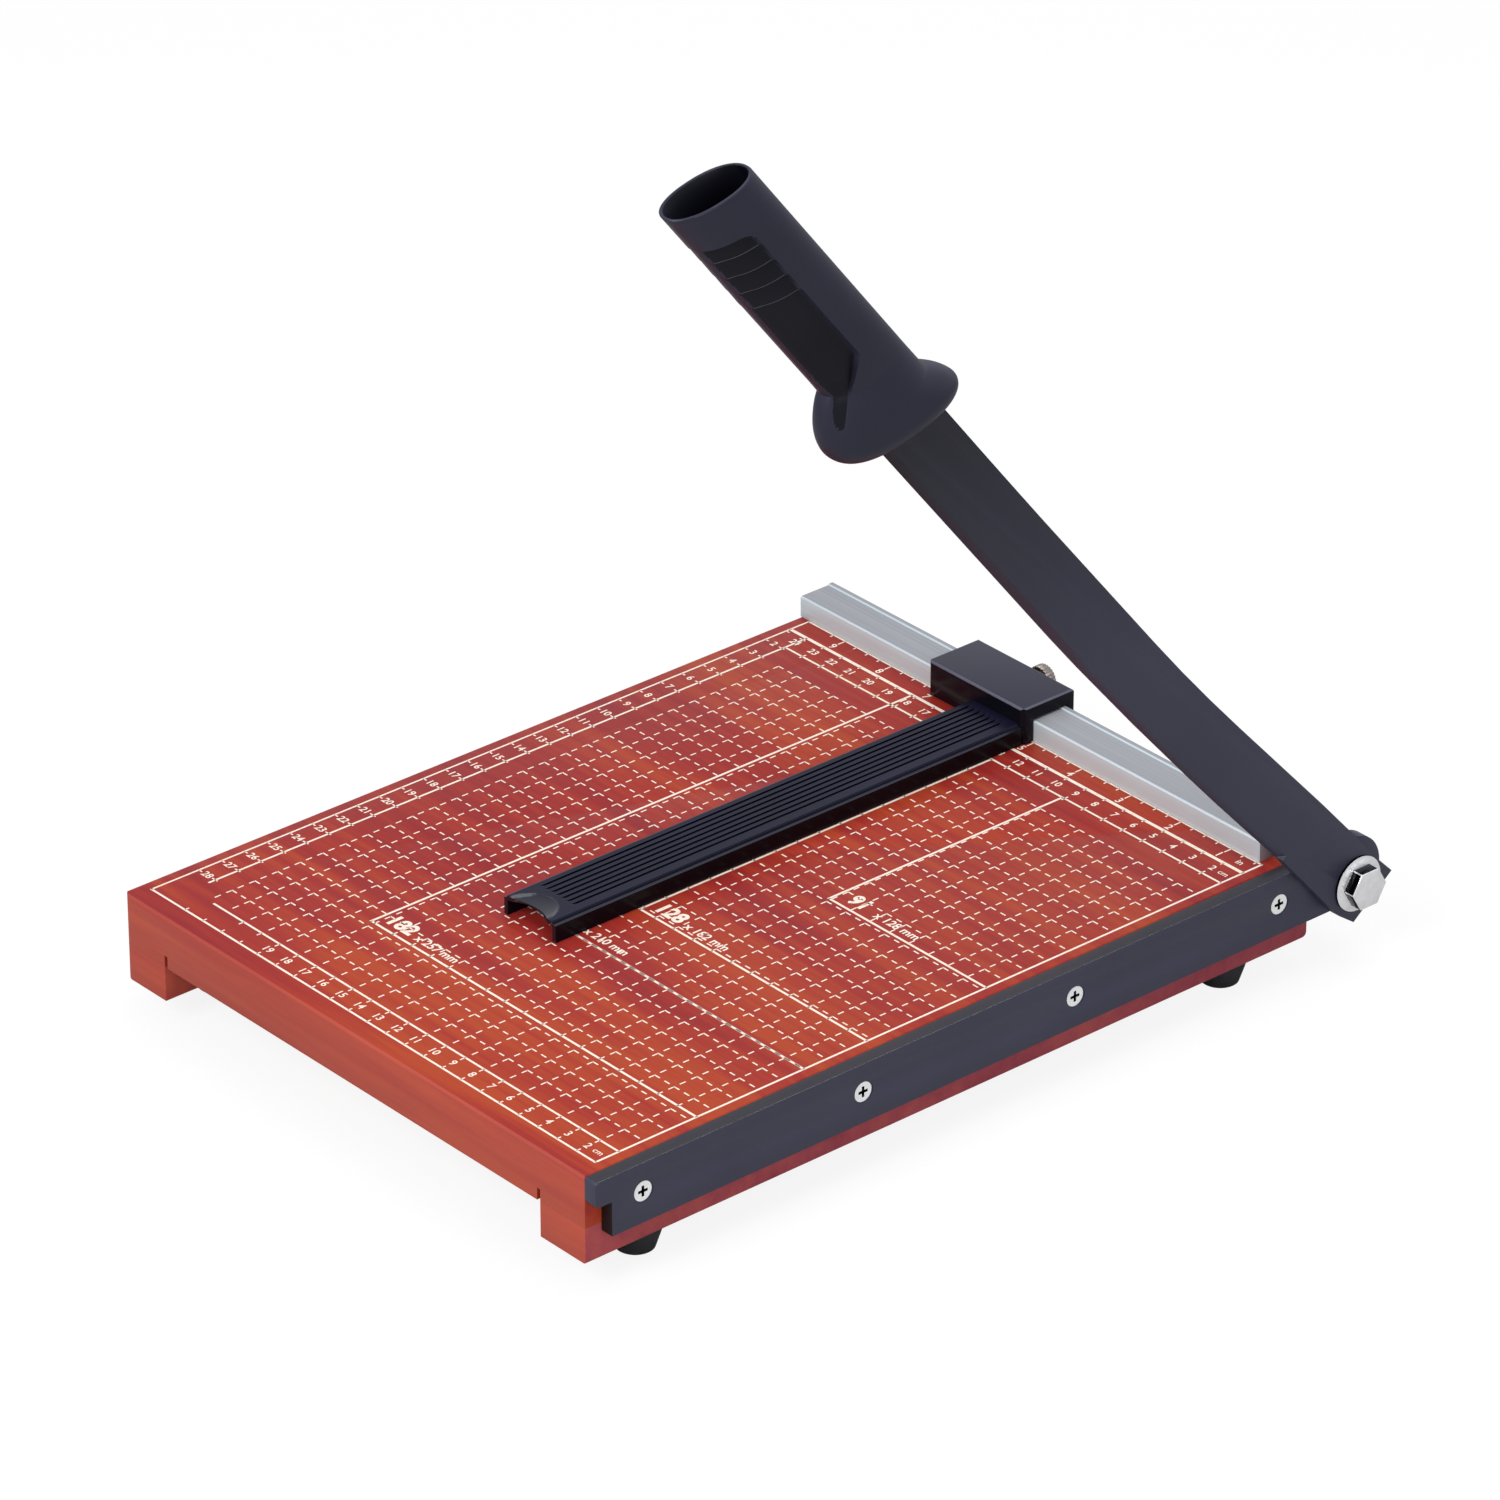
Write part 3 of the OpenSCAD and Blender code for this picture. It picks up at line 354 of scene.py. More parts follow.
def screen_ink(name, colour, thin):
    """Pale screen-printing ink: nearly opaque, slightly thinner in places, flat sheen."""
    material, tree, place = start_material(name)
    cover = add(
        tree, "ShaderNodeTexNoise", {"Vector": place, "Scale": METRE / 1.11, "Detail": 2}
    )
    tint = add(
        tree,
        "ShaderNodeValToRGB",
        {"Fac": cover.outputs[0]},
        stops=[(0.25, thin), (0.5, colour)],
    )
    end_material(tree, {"Base Color": tint.outputs[0], "Roughness": 0.5})
    return material


# The bed's top is the deepest red. Its front faces and the whole left runner are paler, partly
# as cut edges take the stain less and partly as painted light from the floor and the front
# lamp. The runner under the knife is painted cooler, the shade and cool reflection under the
# knife's ledge. The ink is a warm cream.
BED_WOOD = stained_plywood("stained_plywood_bed", "#8F2325", "#A13025", "#B04424", 0.45)
BED_EDGE_LIT = stained_plywood("stained_plywood_edge_lit", "#A8443D", "#B04C3F", "#BA5441", 0.5)
RUNNER_SHADE_WOOD = stained_plywood("stained_plywood_runner_shade", "#903844", "#9C424C", "#A84C4C", 0.5)
INK = screen_ink("screen_ink_cream", "#FFF1E2", "#F6D3BE")

# Blue-black coated steel. The knife's top is darker and browner; its notch is painted near
#  black, the shade under the knife's overhang; the arm is painted darker towards the guard,
#  the guard's shadow.
KNIFE_STEEL = coated_steel("coated_steel_knife", "#373749", "#3B3B4E", 0.42, 0.5, 0.02)
KNIFE_TOP = coated_steel("darker_steel_knife_top", "#26242A", "#2E2B30", 0.5, 0.3, 0.02)
KNIFE_NOTCH_SHADE = coated_steel("painted_shade_knife_notch", "#050506", "#08080A", 0.5, 0.3, 0.02)
# The arm's colour carries the guard's painted shadow towards its top.
ARM_STEEL = coated_steel("coated_steel_arm", "#343445", "#373749", 0.45, 0.5, 0.02, 0.3)

# Blue-black ABS: satin on the grip, with painted shade in its recess and bore. A pale colour
# paints a highlight on the grip's crests and the slider's top edges. The slider's and the
# stop's tops are painted lighter than their sides, as lit, and both are glossier than the grip.
GRIP_ABS = moulded_abs("moulded_abs_grip", "#1F1F30", "#232335", 0.4, 0.3, 0.55, 0.03)
RECESS_SHADE_ABS = moulded_abs("moulded_abs_recess_shade", "#0F0F17", "#13131C", 0.36, 0.15, 0.5, 0.02)
HIGHLIGHT_ABS = moulded_abs("moulded_abs_painted_highlight", "#505060", "#5C5C6C", 0.3, 0.5, 0.5, 0.01)
SLIDER_TOP_LIT = moulded_abs("moulded_abs_slider_top_lit", "#141425", "#18182B", 0.3, 0.4, 0.4, 0.01)
SLIDER_ABS = moulded_abs("moulded_abs_slider", "#0C0C14", "#101018", 0.22, 0.12, 0.4, 0.01)
STOP_TOP_LIT = moulded_abs("moulded_abs_stop_top_lit", "#131326", "#17172C", 0.3, 0.14, 0.4, 0.01)
STOP_ABS = moulded_abs("moulded_abs_stop", "#08080D", "#0B0B12", 0.25, 0.1, 0.4, 0.01)
STOP_NOTCH = moulded_abs("moulded_abs_thumb_notch", "#12121E", "#161624", 0.12, 0.5, 0.4, 0.004)

# The fence is a soft satin grey; its front is painted paler and cooler, painted light that
#  offsets the red light thrown on it by the bed.
FENCE_METAL = anodised_aluminium("anodised_aluminium_fence", "#9A9CA2", "#A8AAB0", 0.5)
FENCE_FRONT_LIT = anodised_aluminium("aluminium_front_painted_light", "#C6D4DA", "#D2DFE5", 0.5)

# Chrome is bright on its ends; its flats and its flange's rim are painted dark, a painted dark
# reflection. Bright zinc is nearly white. Chrome and bright zinc are partly a plain white, which
# paints the studio's bright reflection. Nickel is warmer, and the other fixings are duller.
CHROME = plated_steel("chrome_plated_bolt", "#F8F8FA", "#EEEEF0", 0.1, 3.0, 0.5)
CHROME_DARK_REFLECTION = plated_steel("chrome_painted_dark_reflection", "#1E1E20", "#161618", 0.12, 3.0)
BRIGHT_ZINC = plated_steel("bright_zinc_screws", "#FFFFFF", "#F8F9FA", 0.3, 0.8, 0.15)
SCREW_RECESS = plated_steel("screw_recess_shade", "#2A2A2E", "#19191C", 0.5, 0.8)
DULL_ZINC = plated_steel("dull_zinc_fixings", "#B9BBC0", "#9C9FA5", 0.32, 0.8)
BARE_EDGE_HIGHLIGHT = plated_steel("bare_steel_edge_highlight", "#C8C5C2", "#8A8784", 0.35, 0.6)
NICKEL = plated_steel("nickel_plated_thumb_screw", "#A59A90", "#8A7F76", 0.25, 0.6)

# Turned brass, yellow and bright, and matt black rubber.
BRASS = plated_steel("turned_brass_insert", "#C9A45C", "#A8853F", 0.3, 0.8)
RUBBER = moulded_rubber("moulded_rubber_foot", "#1B1B1E", "#28282B")


def dress(names, material):
    """Gives CAD nodes that keep their own shape their finish."""
    for name in names:
        nodes[name].data.materials.clear()
        nodes[name].data.materials.append(material)


dress(["runner_screws", "fence_screws", "foot_screws", "foot_washers"], DULL_ZINC)
dress(["handle_screws", "stop_screws", "pivot_washers", "lock_nut"], DULL_ZINC)
dress([name for name in nodes if name.startswith(("foot_front", "foot_rear"))], RUBBER)
dress(["lock_insert"], BRASS)


# Making pieces

MERGE, FLAT_DEG, SHARP_DEG, SMOOTH_DEG = 0.002, 0.5, 28, 35


def part_way(a, b, v):
    """How far v has come on the way from a to b, as a share from 0 to 1."""
    return min(1.0, max(0.0, (v - a) / (b - a)))


def smooth_step(a, b, v):
    """The same share, starting and ending gently."""
    u = part_way(a, b, v)
    return u * u * (3 - 2 * u)


def stations(first, last, step):
    """Even stations from first up to last, which is left out, about a step apart."""
    count = max(1, round((last - first) / step))
    return [first + (last - first) * i / count for i in range(count)]


def piece(mesh, name, material, body, smooth_deg=SMOOTH_DEG):
    """Turns a finished bmesh into a piece of the object, riding on its body."""
    data = bpy.data.meshes.new(name)
    mesh.to_mesh(data)
    mesh.free()
    data.materials.append(material)
    data.polygons.foreach_set("use_smooth", [True] * len(data.polygons))
    data.set_sharp_from_angle(angle=math.radians(smooth_deg))
    made = bpy.data.objects.new(name, data)
    bpy.context.scene.collection.objects.link(made)
    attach(made, body)
    return made


def merged_copy(node):
    """A CAD node's mesh with its doubles merged and its flat faces whole again."""
    mesh = bmesh.new()
    mesh.from_mesh(nodes[node].data)
    bmesh.ops.remove_doubles(mesh, verts=mesh.verts, dist=MERGE * MM)
    bmesh.ops.dissolve_limit(
        mesh,
        angle_limit=math.radians(FLAT_DEG),
        verts=mesh.verts,
        edges=mesh.edges,
        delimit={"NORMAL"},
    )
    return mesh


def ease_edges(mesh, ease_mm, steps, chosen):
    """Rounds the chosen edges of a mesh."""
    bmesh.ops.bevel(
        mesh,
        geom=[e for e in mesh.edges if e.is_manifold and chosen(e)],
        offset=ease_mm * MM,
        offset_type="OFFSET",
        segments=steps,
        profile=0.5,
        affect="EDGES",
        clamp_overlap=True,
        material=-1,
    )


def is_sharp(edge):
    """Whether an edge turns enough to be rounded."""
    return edge.calc_face_angle(0) > math.radians(SHARP_DEG)


def eased(node, name, ease_mm, material, body, steps=2, mesh=None):
    """Stands for a CAD node, with its sharp edges rounded."""
    mesh = mesh or merged_copy(node)
    ease_edges(mesh, ease_mm, steps, is_sharp)
    made = piece(mesh, name, material, body)
    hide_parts(node)
    return made


def cut(mesh, cutters):
    """Takes cutter meshes out of a mesh."""
    for cutter in cutters:
        holders = []
        for shape in (mesh, cutter):
            data = bpy.data.meshes.new("shape")
            shape.to_mesh(data)
            shape.free()
            holder = bpy.data.objects.new("shape", data)
            bpy.context.scene.collection.objects.link(holder)
            holders.append(holder)
        modifier = holders[0].modifiers.new("cut", "BOOLEAN")
        modifier.operation, modifier.solver = "DIFFERENCE", "EXACT"
        modifier.object = holders[1]
        bpy.context.view_layer.update()
        evaluated = holders[0].evaluated_get(bpy.context.evaluated_depsgraph_get())
        mesh = bmesh.new()
        mesh.from_mesh(evaluated.data)
        for holder in holders:
            data = holder.data
            bpy.data.objects.remove(holder)
            bpy.data.meshes.remove(data)
    return mesh


def block(low, high):
    """A box between two points, given as for at()."""
    mesh = bmesh.new()
    bmesh.ops.create_cube(mesh, size=1)
    for v in mesh.verts:
        v.co = at(*(a if c < 0 else b for a, b, c in zip(low, high, v.co)))
    return mesh


def finish_faces(made, material, chosen):
    """Gives the chosen faces of a piece another finish."""
    made.data.materials.append(material)
    for face in made.data.polygons:
        if chosen(face):
            face.material_index = len(made.data.materials) - 1


# Bed, knife and fence

BED_FRONT = -309.3
NOTCH_LONG, NOTCH_BOTTOM, NOTCH_TOP = 7.0, -11.6, -9.8
END_CORNER, END_STEPS, CROSSING = 1.6, 4, 4.0


def faces_front(face):
    """Whether a face looks to the front of the trimmer."""
    return face.normal.y < -0.5


# The right runner's cooler colour is painted shade and a painted cool reflection under the knife.
for node, name, material in (
    ("base_panel", "bed_stained", BED_WOOD),
    ("left_runner", "left_runner_stained", BED_EDGE_LIT),
    ("right_runner", "right_runner_stained", RUNNER_SHADE_WOOD),
):
    wooden = eased(node, name, EDGE, material, "base")
    # Front faces take the paler edge colour, partly painted light.
    finish_faces(wooden, BED_EDGE_LIT, faces_front)


def on_knife_end(edge):
    """Whether an edge crosses the knife's front end from side to side."""
    a, b = (v.co for v in edge.verts)
    return max(a.y, b.y) < at(0, BED_FRONT + 0.1).y and abs(a.x - b.x) > CROSSING * MM


def on_knife_top(face):
    """Whether a face is part of the knife's flat top."""
    return face.normal.z > 0.95 and face.center.z > BED_TOP - 0.6 * MM


def on_knife_edge(face):
    """Whether a face slopes between the knife's top and its shearing side."""
    slopes = 0.35 < face.normal.x < 0.9 and face.normal.z > 0.4
    return slopes and face.center.z > BED_TOP - 0.5 * MM


def in_knife_notch(face):
    """Whether a face is at the back of the knife's notch, or on its end below the notch."""
    return faces_front(face) and face.center.z < BED_TOP + (NOTCH_TOP - 0.1) * MM


notch = block((-6, BED_FRONT - 1, NOTCH_BOTTOM), (1, BED_FRONT + NOTCH_LONG, NOTCH_TOP))
notched = cut(merged_copy("bed_knife"), [notch])
ease_edges(notched, END_CORNER, END_STEPS, on_knife_end)
knife = eased(
    "bed_knife", "bed_knife_coated", EDGE, KNIFE_STEEL, "base", mesh=notched
)
finish_faces(knife, KNIFE_TOP, on_knife_top)
# Bare steel where the coat wears off the top edge, and a painted highlight along that edge.
finish_faces(knife, BARE_EDGE_HIGHLIGHT, on_knife_edge)
# The back of the notch and the end below it are painted near black: painted shade.
finish_faces(knife, KNIFE_NOTCH_SHADE, in_knife_notch)
# The heads are partly a plain white that paints a bright reflection; their recesses and cones
# carry painted shade.
screws = piece(merged_copy("knife_screws"), "knife_screws_zinc", BRIGHT_ZINC, "base")
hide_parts("knife_screws")
HEADS_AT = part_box("knife_screws")[1].x
finish_faces(screws, SCREW_RECESS, lambda f: f.center.x < HEADS_AT - 0.05 * MM)
eased("blade_arm", "cutter_arm_coated", EDGE, ARM_STEEL, "arm")
fence = eased("fence_rail", "fence_anodised", EDGE, FENCE_METAL, "base")
# The front face is painted paler and cooler: painted light.
finish_faces(fence, FENCE_FRONT_LIT, faces_front)


# Bolt and thumb screw

BOLT_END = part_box("pivot_bolt")[1].x
BOLT_X = (BOLT_END - KNIFE_FACE) / MM
HEX_AF, HEX_H, HEX_SUNK = 14.0, 4.5, 0.3
FLANGE_IN, FLAT_AREA = 8.0, 8.0
KNURL_EDGE = 0.12


def bolt_hexagon():
    """The bolt's hexagon with rolled edges, flats up and down."""
    mesh = bmesh.new()
    radius = HEX_AF / math.sqrt(3) * MM
    bmesh.ops.create_cone(
        mesh, cap_ends=True, segments=6, radius1=radius, radius2=radius, depth=HEX_H * MM
    )
    middle = Matrix.Translation(at(BOLT_X - HEX_H / 2, PIVOT_Y, PIVOT_Z))
    lying = Matrix.Rotation(math.pi / 2, 4, "Y")
    bmesh.ops.transform(mesh, matrix=middle @ lying, verts=mesh.verts)
    ease_edges(mesh, EDGE, 3, is_sharp)
    return mesh


def on_side(face):
    """Whether a face lies along the bolt, on a flat or a rim."""
    return abs(face.normal.x) < 0.3


hexagon_room = block(
    (BOLT_X - HEX_H + HEX_SUNK, PIVOT_Y - HEX_AF, PIVOT_Z - HEX_AF),
    (BOLT_X + 1, PIVOT_Y + HEX_AF, PIVOT_Z + HEX_AF),
)
shank = cut(merged_copy("pivot_bolt"), [hexagon_room])
bolt = eased("pivot_bolt", "pivot_bolt_plated", EDGE, CHROME, "base", mesh=shank)
# The flange's rim is painted dark: a painted dark reflection.
finish_faces(
    bolt, CHROME_DARK_REFLECTION, lambda f: on_side(f) and f.center.x > BOLT_END - FLANGE_IN * MM
)
head = piece(bolt_hexagon(), "pivot_bolt_hexagon", CHROME, "base")
# The hexagon's flats are painted dark: a painted dark reflection.
finish_faces(head, CHROME_DARK_REFLECTION, lambda f: on_side(f) and f.area > FLAT_AREA * MM * MM)
eased("lock_screw", "thumb_screw_knurled", KNURL_EDGE, NICKEL, "thumb_screw")


# Slider

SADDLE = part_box("slider_block")
SADDLE_CORNER, SADDLE_EDGE = 2.2, 0.45
SLOPING_UP, LEVEL_UP = 0.35, 0.95


def corner_cutter(x, inward):
    """Room outside a rounded upright corner at x; inward is the way along x into the saddle."""
    low, high = SADDLE
    reach, tall, middle = SADDLE_CORNER * MM, high.z - low.z, (low.z + high.z) / 2
    half = (reach - MM) / 2
    corner, post = bmesh.new(), bmesh.new()
    spot = Matrix.Translation((x + inward * half, low.y + half, middle))
    size = Matrix.Diagonal((reach + MM, reach + MM, tall + 2 * MM, 1))
    bmesh.ops.create_cube(corner, size=1, matrix=spot @ size)
    bmesh.ops.create_cone(
        post,
        cap_ends=True,
        segments=32,
        radius1=reach,
        radius2=reach,
        depth=tall + 4 * MM,
        matrix=Matrix.Translation((x + inward * reach, low.y + reach, middle)),
    )
    return cut(corner, [post])


rounded = cut(
    merged_copy("slider_block"),
    [corner_cutter(SADDLE[0].x, 1), corner_cutter(SADDLE[1].x, -1)],
)
saddle = eased(
    "slider_block",
    "slider_saddle",
    SADDLE_EDGE,
    SLIDER_ABS,
    "slider",
    steps=3,
    mesh=rounded,
)
# The top is painted lighter than the sides: painted light.
finish_faces(saddle, SLIDER_TOP_LIT, lambda f: f.normal.z > SLOPING_UP)
# Its sloping top edges get a painted highlight.
finish_faces(saddle, HIGHLIGHT_ABS, lambda f: SLOPING_UP < f.normal.z < LEVEL_UP)


# Paper stop

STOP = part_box("paper_stop")
STOP_W, STOP_L, STOP_H = ((b - a) / MM for a, b in zip(*STOP))
WEB, BOSS_L = 1.8, 15.0
GROOVES, GROOVE_W, GROOVE_D, GROOVE_WALL = 7, 1.0, 0.6, 0.05
FIRST_GROOVE, LAST_GROOVE = 4.6, STOP_W - 6.2
GROOVE_PITCH = (LAST_GROOVE - FIRST_GROOVE) / (GROOVES - 1)
GROOVES_AT = [FIRST_GROOVE + i * GROOVE_PITCH for i in range(GROOVES)]
GROOVES_IN, GROOVES_OUT = (12.5, 15.5), (3.4, 5.0)
SCOOP_X, SCOOP_R, SCOOP_D, SCOOP_RIM, SCOOP_CURVE = 13.1, 10.0, 1.5, 0.87, 0.6
SET_BACK, SET_BACK_L = 3.6, 11.0


def stop_section():
    """Stations across the stop, about half a millimetre apart: (x, z, kind), outside from the
    left foot over the ribbed top to the right foot, then back through the channel."""
    left = [(0, 0), (0, STOP_H - 1.2), (1.3, STOP_H - 1.0), (1.5, STOP_H - 0.5)]
    right = [(STOP_W - x, z) for x, z in reversed(left)]
    half, land = GROOVE_W / 2 + GROOVE_WALL, GROOVE_PITCH - GROOVE_W - 2 * GROOVE_WALL
    top = [2.0, 2.6, 3.2, 3.7]
    for middle in GROOVES_AT:
        top += [middle + d for d in (-half, -GROOVE_W / 2, GROOVE_W / 2, half)]
        if middle < GROOVES_AT[-1]:
            top += [middle + half + land * k / 3 for k in (1, 2)]
    top += [STOP_W - d for d in (5.4, 4.8, 4.2, 3.6, 3.0, 2.5, 2.0)]
    section = [(x, z, "side") for x, z in left] + [(x, STOP_H, "top") for x in top]
    section += [(x, z, "side") for x, z in right] + [(STOP_W - WEB, 0, "side")]
    inner = [x for x in reversed(top) if WEB < x < STOP_W - WEB]
    section += [(STOP_W - WEB, STOP_H - WEB, "under")]
    section += [(x, STOP_H - WEB, "under") for x in inner]
    return section + [(WEB, STOP_H - WEB, "under"), (WEB, 0, "side")]


def in_groove(x):
    """Whether a station of the top is at the foot of a groove."""
    return any(abs(x - middle) < GROOVE_W / 2 + 0.01 for middle in GROOVES_AT)


def stop_point(x, z, kind, y, filled):
    """A point of the stop y behind its front end: the web is set back and dished there for
    a thumb, and behind the boss's face the channel is filled."""
    off = (x - SCOOP_X) / SCOOP_R
    if kind != "side" and abs(off) < 1:
        y += SET_BACK * (1 - off * off) * max(0.0, 1 - y / SET_BACK_L)
    if kind == "under" and filled:
        return x, y, 0.0
    if kind == "top":
        near = off * off + (y / SCOOP_R) ** 2
        if near < 1:
            z -= SCOOP_D * min(1.0, (1 - near) / SCOOP_RIM) ** SCOOP_CURVE
        if in_groove(x):
            ends = (STOP_L - d for d in GROOVES_OUT)
            z -= GROOVE_D * part_way(*GROOVES_IN, y) * part_way(*ends, y)
    return x, y, z


def next_ring(mesh, ring):
    """Extrudes a ring of points, and gives the new ones in the same order."""
    order = {v: i for i, v in enumerate(ring)}
    edges = {e for v in ring for e in v.link_edges if e.other_vert(v) in order}
    grown = bmesh.ops.extrude_edge_only(mesh, edges=list(edges))["geom"]
    placed = [None] * len(ring)
    for v in grown:
        if isinstance(v, bmesh.types.BMVert):
            partner = next(e.other_vert(v) for e in v.link_edges if e.other_vert(v) in order)
            placed[order[partner]] = v
    return placed


def lofted(rings):
    """A closed tube through rings of equally many points."""
    mesh = bmesh.new()
    circle = bmesh.ops.create_circle(mesh, cap_ends=False, segments=len(rings[0]), radius=1)
    first = last = circle["verts"]
    for index, points in enumerate(rings):
        if index:
            last = next_ring(mesh, last)
        for v, point in zip(last, points):
            v.co = point
    for rim in (first, last):
        around = set(rim)
        edges = {e for v in rim for e in v.link_edges if e.other_vert(v) in around}
        bmesh.ops.contextual_create(mesh, geom=list(edges))
    bmesh.ops.recalc_face_normals(mesh, faces=mesh.faces)
    return mesh


def stop_shell():
    """The stop as one channel from its thumb notch to the boss that the slider carries."""
    runs = [(y, False) for y in stations(0, 12.5, 0.5) + stations(12.4, 16.4, 0.8)]
    runs += [(STOP_L - BOSS_L, False), (STOP_L - BOSS_L, True)]
    runs += [(STOP_L - d, True) for d in (*reversed(GROOVES_OUT), 0)]
    section = stop_section()
    rings = []
    for y, filled in runs:
        points = [stop_point(x, z, kind, y, filled) for x, z, kind in section]
        rings.append([STOP[0] + Vector(point) * MM for point in points])
    return lofted(rings)


def in_notch(face):
    """Whether a face is in the thumb notch or at its rim."""
    x, y, _ = (face.center - STOP[0]) / MM
    return math.hypot(x - SCOOP_X, y) < SCOOP_R + 0.5 and face.center.z > STOP[1].z - 2.5 * MM


def on_ledge(face):
    """Whether a face is one of the level ledges along the stop's two sides."""
    x = (face.center.x - STOP[0].x) / MM
    return min(x, STOP_W - x) < 1.4 and face.normal.z > 0.9


def on_ribs(face):
    """Whether a face is on the ribbed top or the floor of a groove."""
    return face.normal.z > 0.6 and face.center.z > STOP[1].z - 1.3 * MM


stop = piece(stop_shell(), "stop_channel", STOP_ABS, "slider")
# The ribbed top is painted lighter than the sides: painted light.
finish_faces(stop, STOP_TOP_LIT, on_ribs)
# The thumb notch is glossier and, like the top, painted lighter than the sides.
finish_faces(stop, STOP_NOTCH, in_notch)
# The side ledges take the slider top's lit colour: a painted highlight.
finish_faces(stop, SLIDER_TOP_LIT, on_ledge)
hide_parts("paper_stop")


# Grip: t is measured along the arm from its pivot, and n square to it

RIM_T, END_T = 327.5, 462.3
AXIS_N, TILT, SLANT, SLANT_MORE = -10.0, math.radians(1.4), 0.36, 0.1
GRIP_DEEP, GRIP_ACROSS = 15.8, 9.4
RECESS_TOP, RECESS_CORNER, RECESS_D = 444.5, 5.0, 1.1
BORDER_TURN, BORDER_SLOPE, BORDER_WALL = 372.0, 0.75, 0.9
SPINE = 0.88
RIDGES, RIDGE_AT, RIDGE_PITCH, RIDGE_D = 4, 436.9, 8.75, 1.2
RIDGE_LINES = [RIDGE_AT - i * RIDGE_PITCH for i in range(RIDGES)]
FIRST_STEP_D, FIRST_STEP_L = 1.0, 7.6
CREST_D, CREST_L = 0.3, 0.9


def lobe(t, size, rim, grip, peak, root, power):
    """Half a size of the guard: it swells from the rim to its peak like a quarter of an
    ellipse, then falls to the size of the grip."""
    if t < peak:
        return rim + (size - rim) * math.sqrt(1 - (1 - part_way(RIM_T, peak, t)) ** 2)
    return size + (grip - size) * part_way(peak, root, t) ** power


def ridge_step(t):
    """Extra depth of the recess between its stepped ridges, each with a rounded crest."""
    if t > RIDGE_LINES[0]:
        full = FIRST_STEP_D * min(1.0, (t - RIDGE_LINES[0]) / FIRST_STEP_L)
    elif t <= RIDGE_LINES[-1]:
        full = RIDGE_D
    else:
        full = RIDGE_D * (1 - (RIDGE_AT - t) / RIDGE_PITCH % 1) ** 1.4
    crest = min((t - line for line in RIDGE_LINES if t > line), default=CREST_L)
    return full + CREST_D * max(0.0, 1 - crest / CREST_L) ** 2


def border_drop(t):
    """How far the recess's border is below the grip's middle line at station t: it turns
    down towards the guard."""
    return BORDER_SLOPE * max(0.0, BORDER_TURN - t)


def recess_depth(t, y, front_share):
    """Depth of the finger recess at station t, y above the grip's middle line. It deepens
    in two steps from the guard on, and a spine stays along the grip's front."""
    border = -border_drop(t)
    drop = max(0.0, y + RECESS_CORNER)
    top = RECESS_TOP - RECESS_CORNER + math.sqrt(max(0.0, RECESS_CORNER**2 - drop**2))
    within = part_way(border, border - BORDER_WALL, y) * part_way(top + 0.1, top - 0.7, t)
    spine = 1 - SPINE * smooth_step(0.8, 0.97, front_share)
    run = 0.35 * smooth_step(341, 352, t) + 0.65 * smooth_step(354, 364, t)
    return (RECESS_D + ridge_step(t)) * within * spine * run


def half_sizes(t):
    """How far the grip's ring reaches to the front, to the back and across."""
    front = lobe(t, 27.8, 21.5, GRIP_DEEP, RIM_T + 8.5, RIM_T + 30.5, 1.8)
    back = lobe(t, 22.0, 18.0, GRIP_DEEP, RIM_T + 5, RIM_T + 17.5, 1.6)
    across = lobe(t, 12.2, 9.5, GRIP_ACROSS, RIM_T + 6, RIM_T + 30, 1.3)
    return front, back, across


# The ring is a little squarer than an ellipse, with this many steps to a quarter.
SQUARENESS = 2 / 2.2
QUARTER = 36


def ring_angles(t):
    """Angles of a ring's points: on each side one keeps to the recess's border, and the
    next to the foot of the border's wall."""
    front = half_sizes(t)[0]
    border = border_drop(t)
    edge, foot = (
        -math.asin(min(0.93, (y / front) ** (1 / SQUARENESS)))
        for y in (border, border + BORDER_WALL - 0.1)
    )
    upper = [edge + (math.pi / 2 - edge) * k / QUARTER for k in range(QUARTER + 1)]
    lower = [foot - (math.pi / 2 + foot) * k / (QUARTER - 1) for k in range(QUARTER)]
    right = upper[:-1]
    left = [math.pi - a for a in reversed(upper)] + [math.pi - a for a in lower[:-1]]
    return right + left + lower[::-1]


def grip_point(t, angle, inset, carve):
    """A point of the slanted ring at station t, in arm coordinates (t, n, across), and the
    depth the recess has there."""
    front, back, across = half_sizes(t)
    c, s = math.cos(angle), math.sin(angle)
    x = math.copysign(abs(c) ** SQUARENESS, c) * (across - inset)
    y = math.copysign(abs(s) ** SQUARENESS, s) * ((back if s > 0 else front) - inset)
    depth = recess_depth(t, y, abs(s)) if carve else 0.0
    scale = 1 - depth / max(1.0, math.hypot(x, y))
    x, y = x * scale, y * scale
    slant = SLANT + SLANT_MORE * smooth_step(RIM_T, RIM_T + 40, t)
    along, up = t - slant * y, AXIS_N + y
    spot = (
        along * math.cos(TILT) - up * math.sin(TILT),
        along * math.sin(TILT) + up * math.cos(TILT),
        x,
    )
    return spot, depth


def from_arm(t, n, across):
    """Arm coordinates to the row frame: t along the arm, n square to it, across outwards."""
    return at(
        ARM_MIDDLE + across,
        PIVOT_Y - t * math.cos(ARM_ANGLE) + n * math.sin(ARM_ANGLE),
        PIVOT_Z + t * math.sin(ARM_ANGLE) + n * math.cos(ARM_ANGLE),
    )


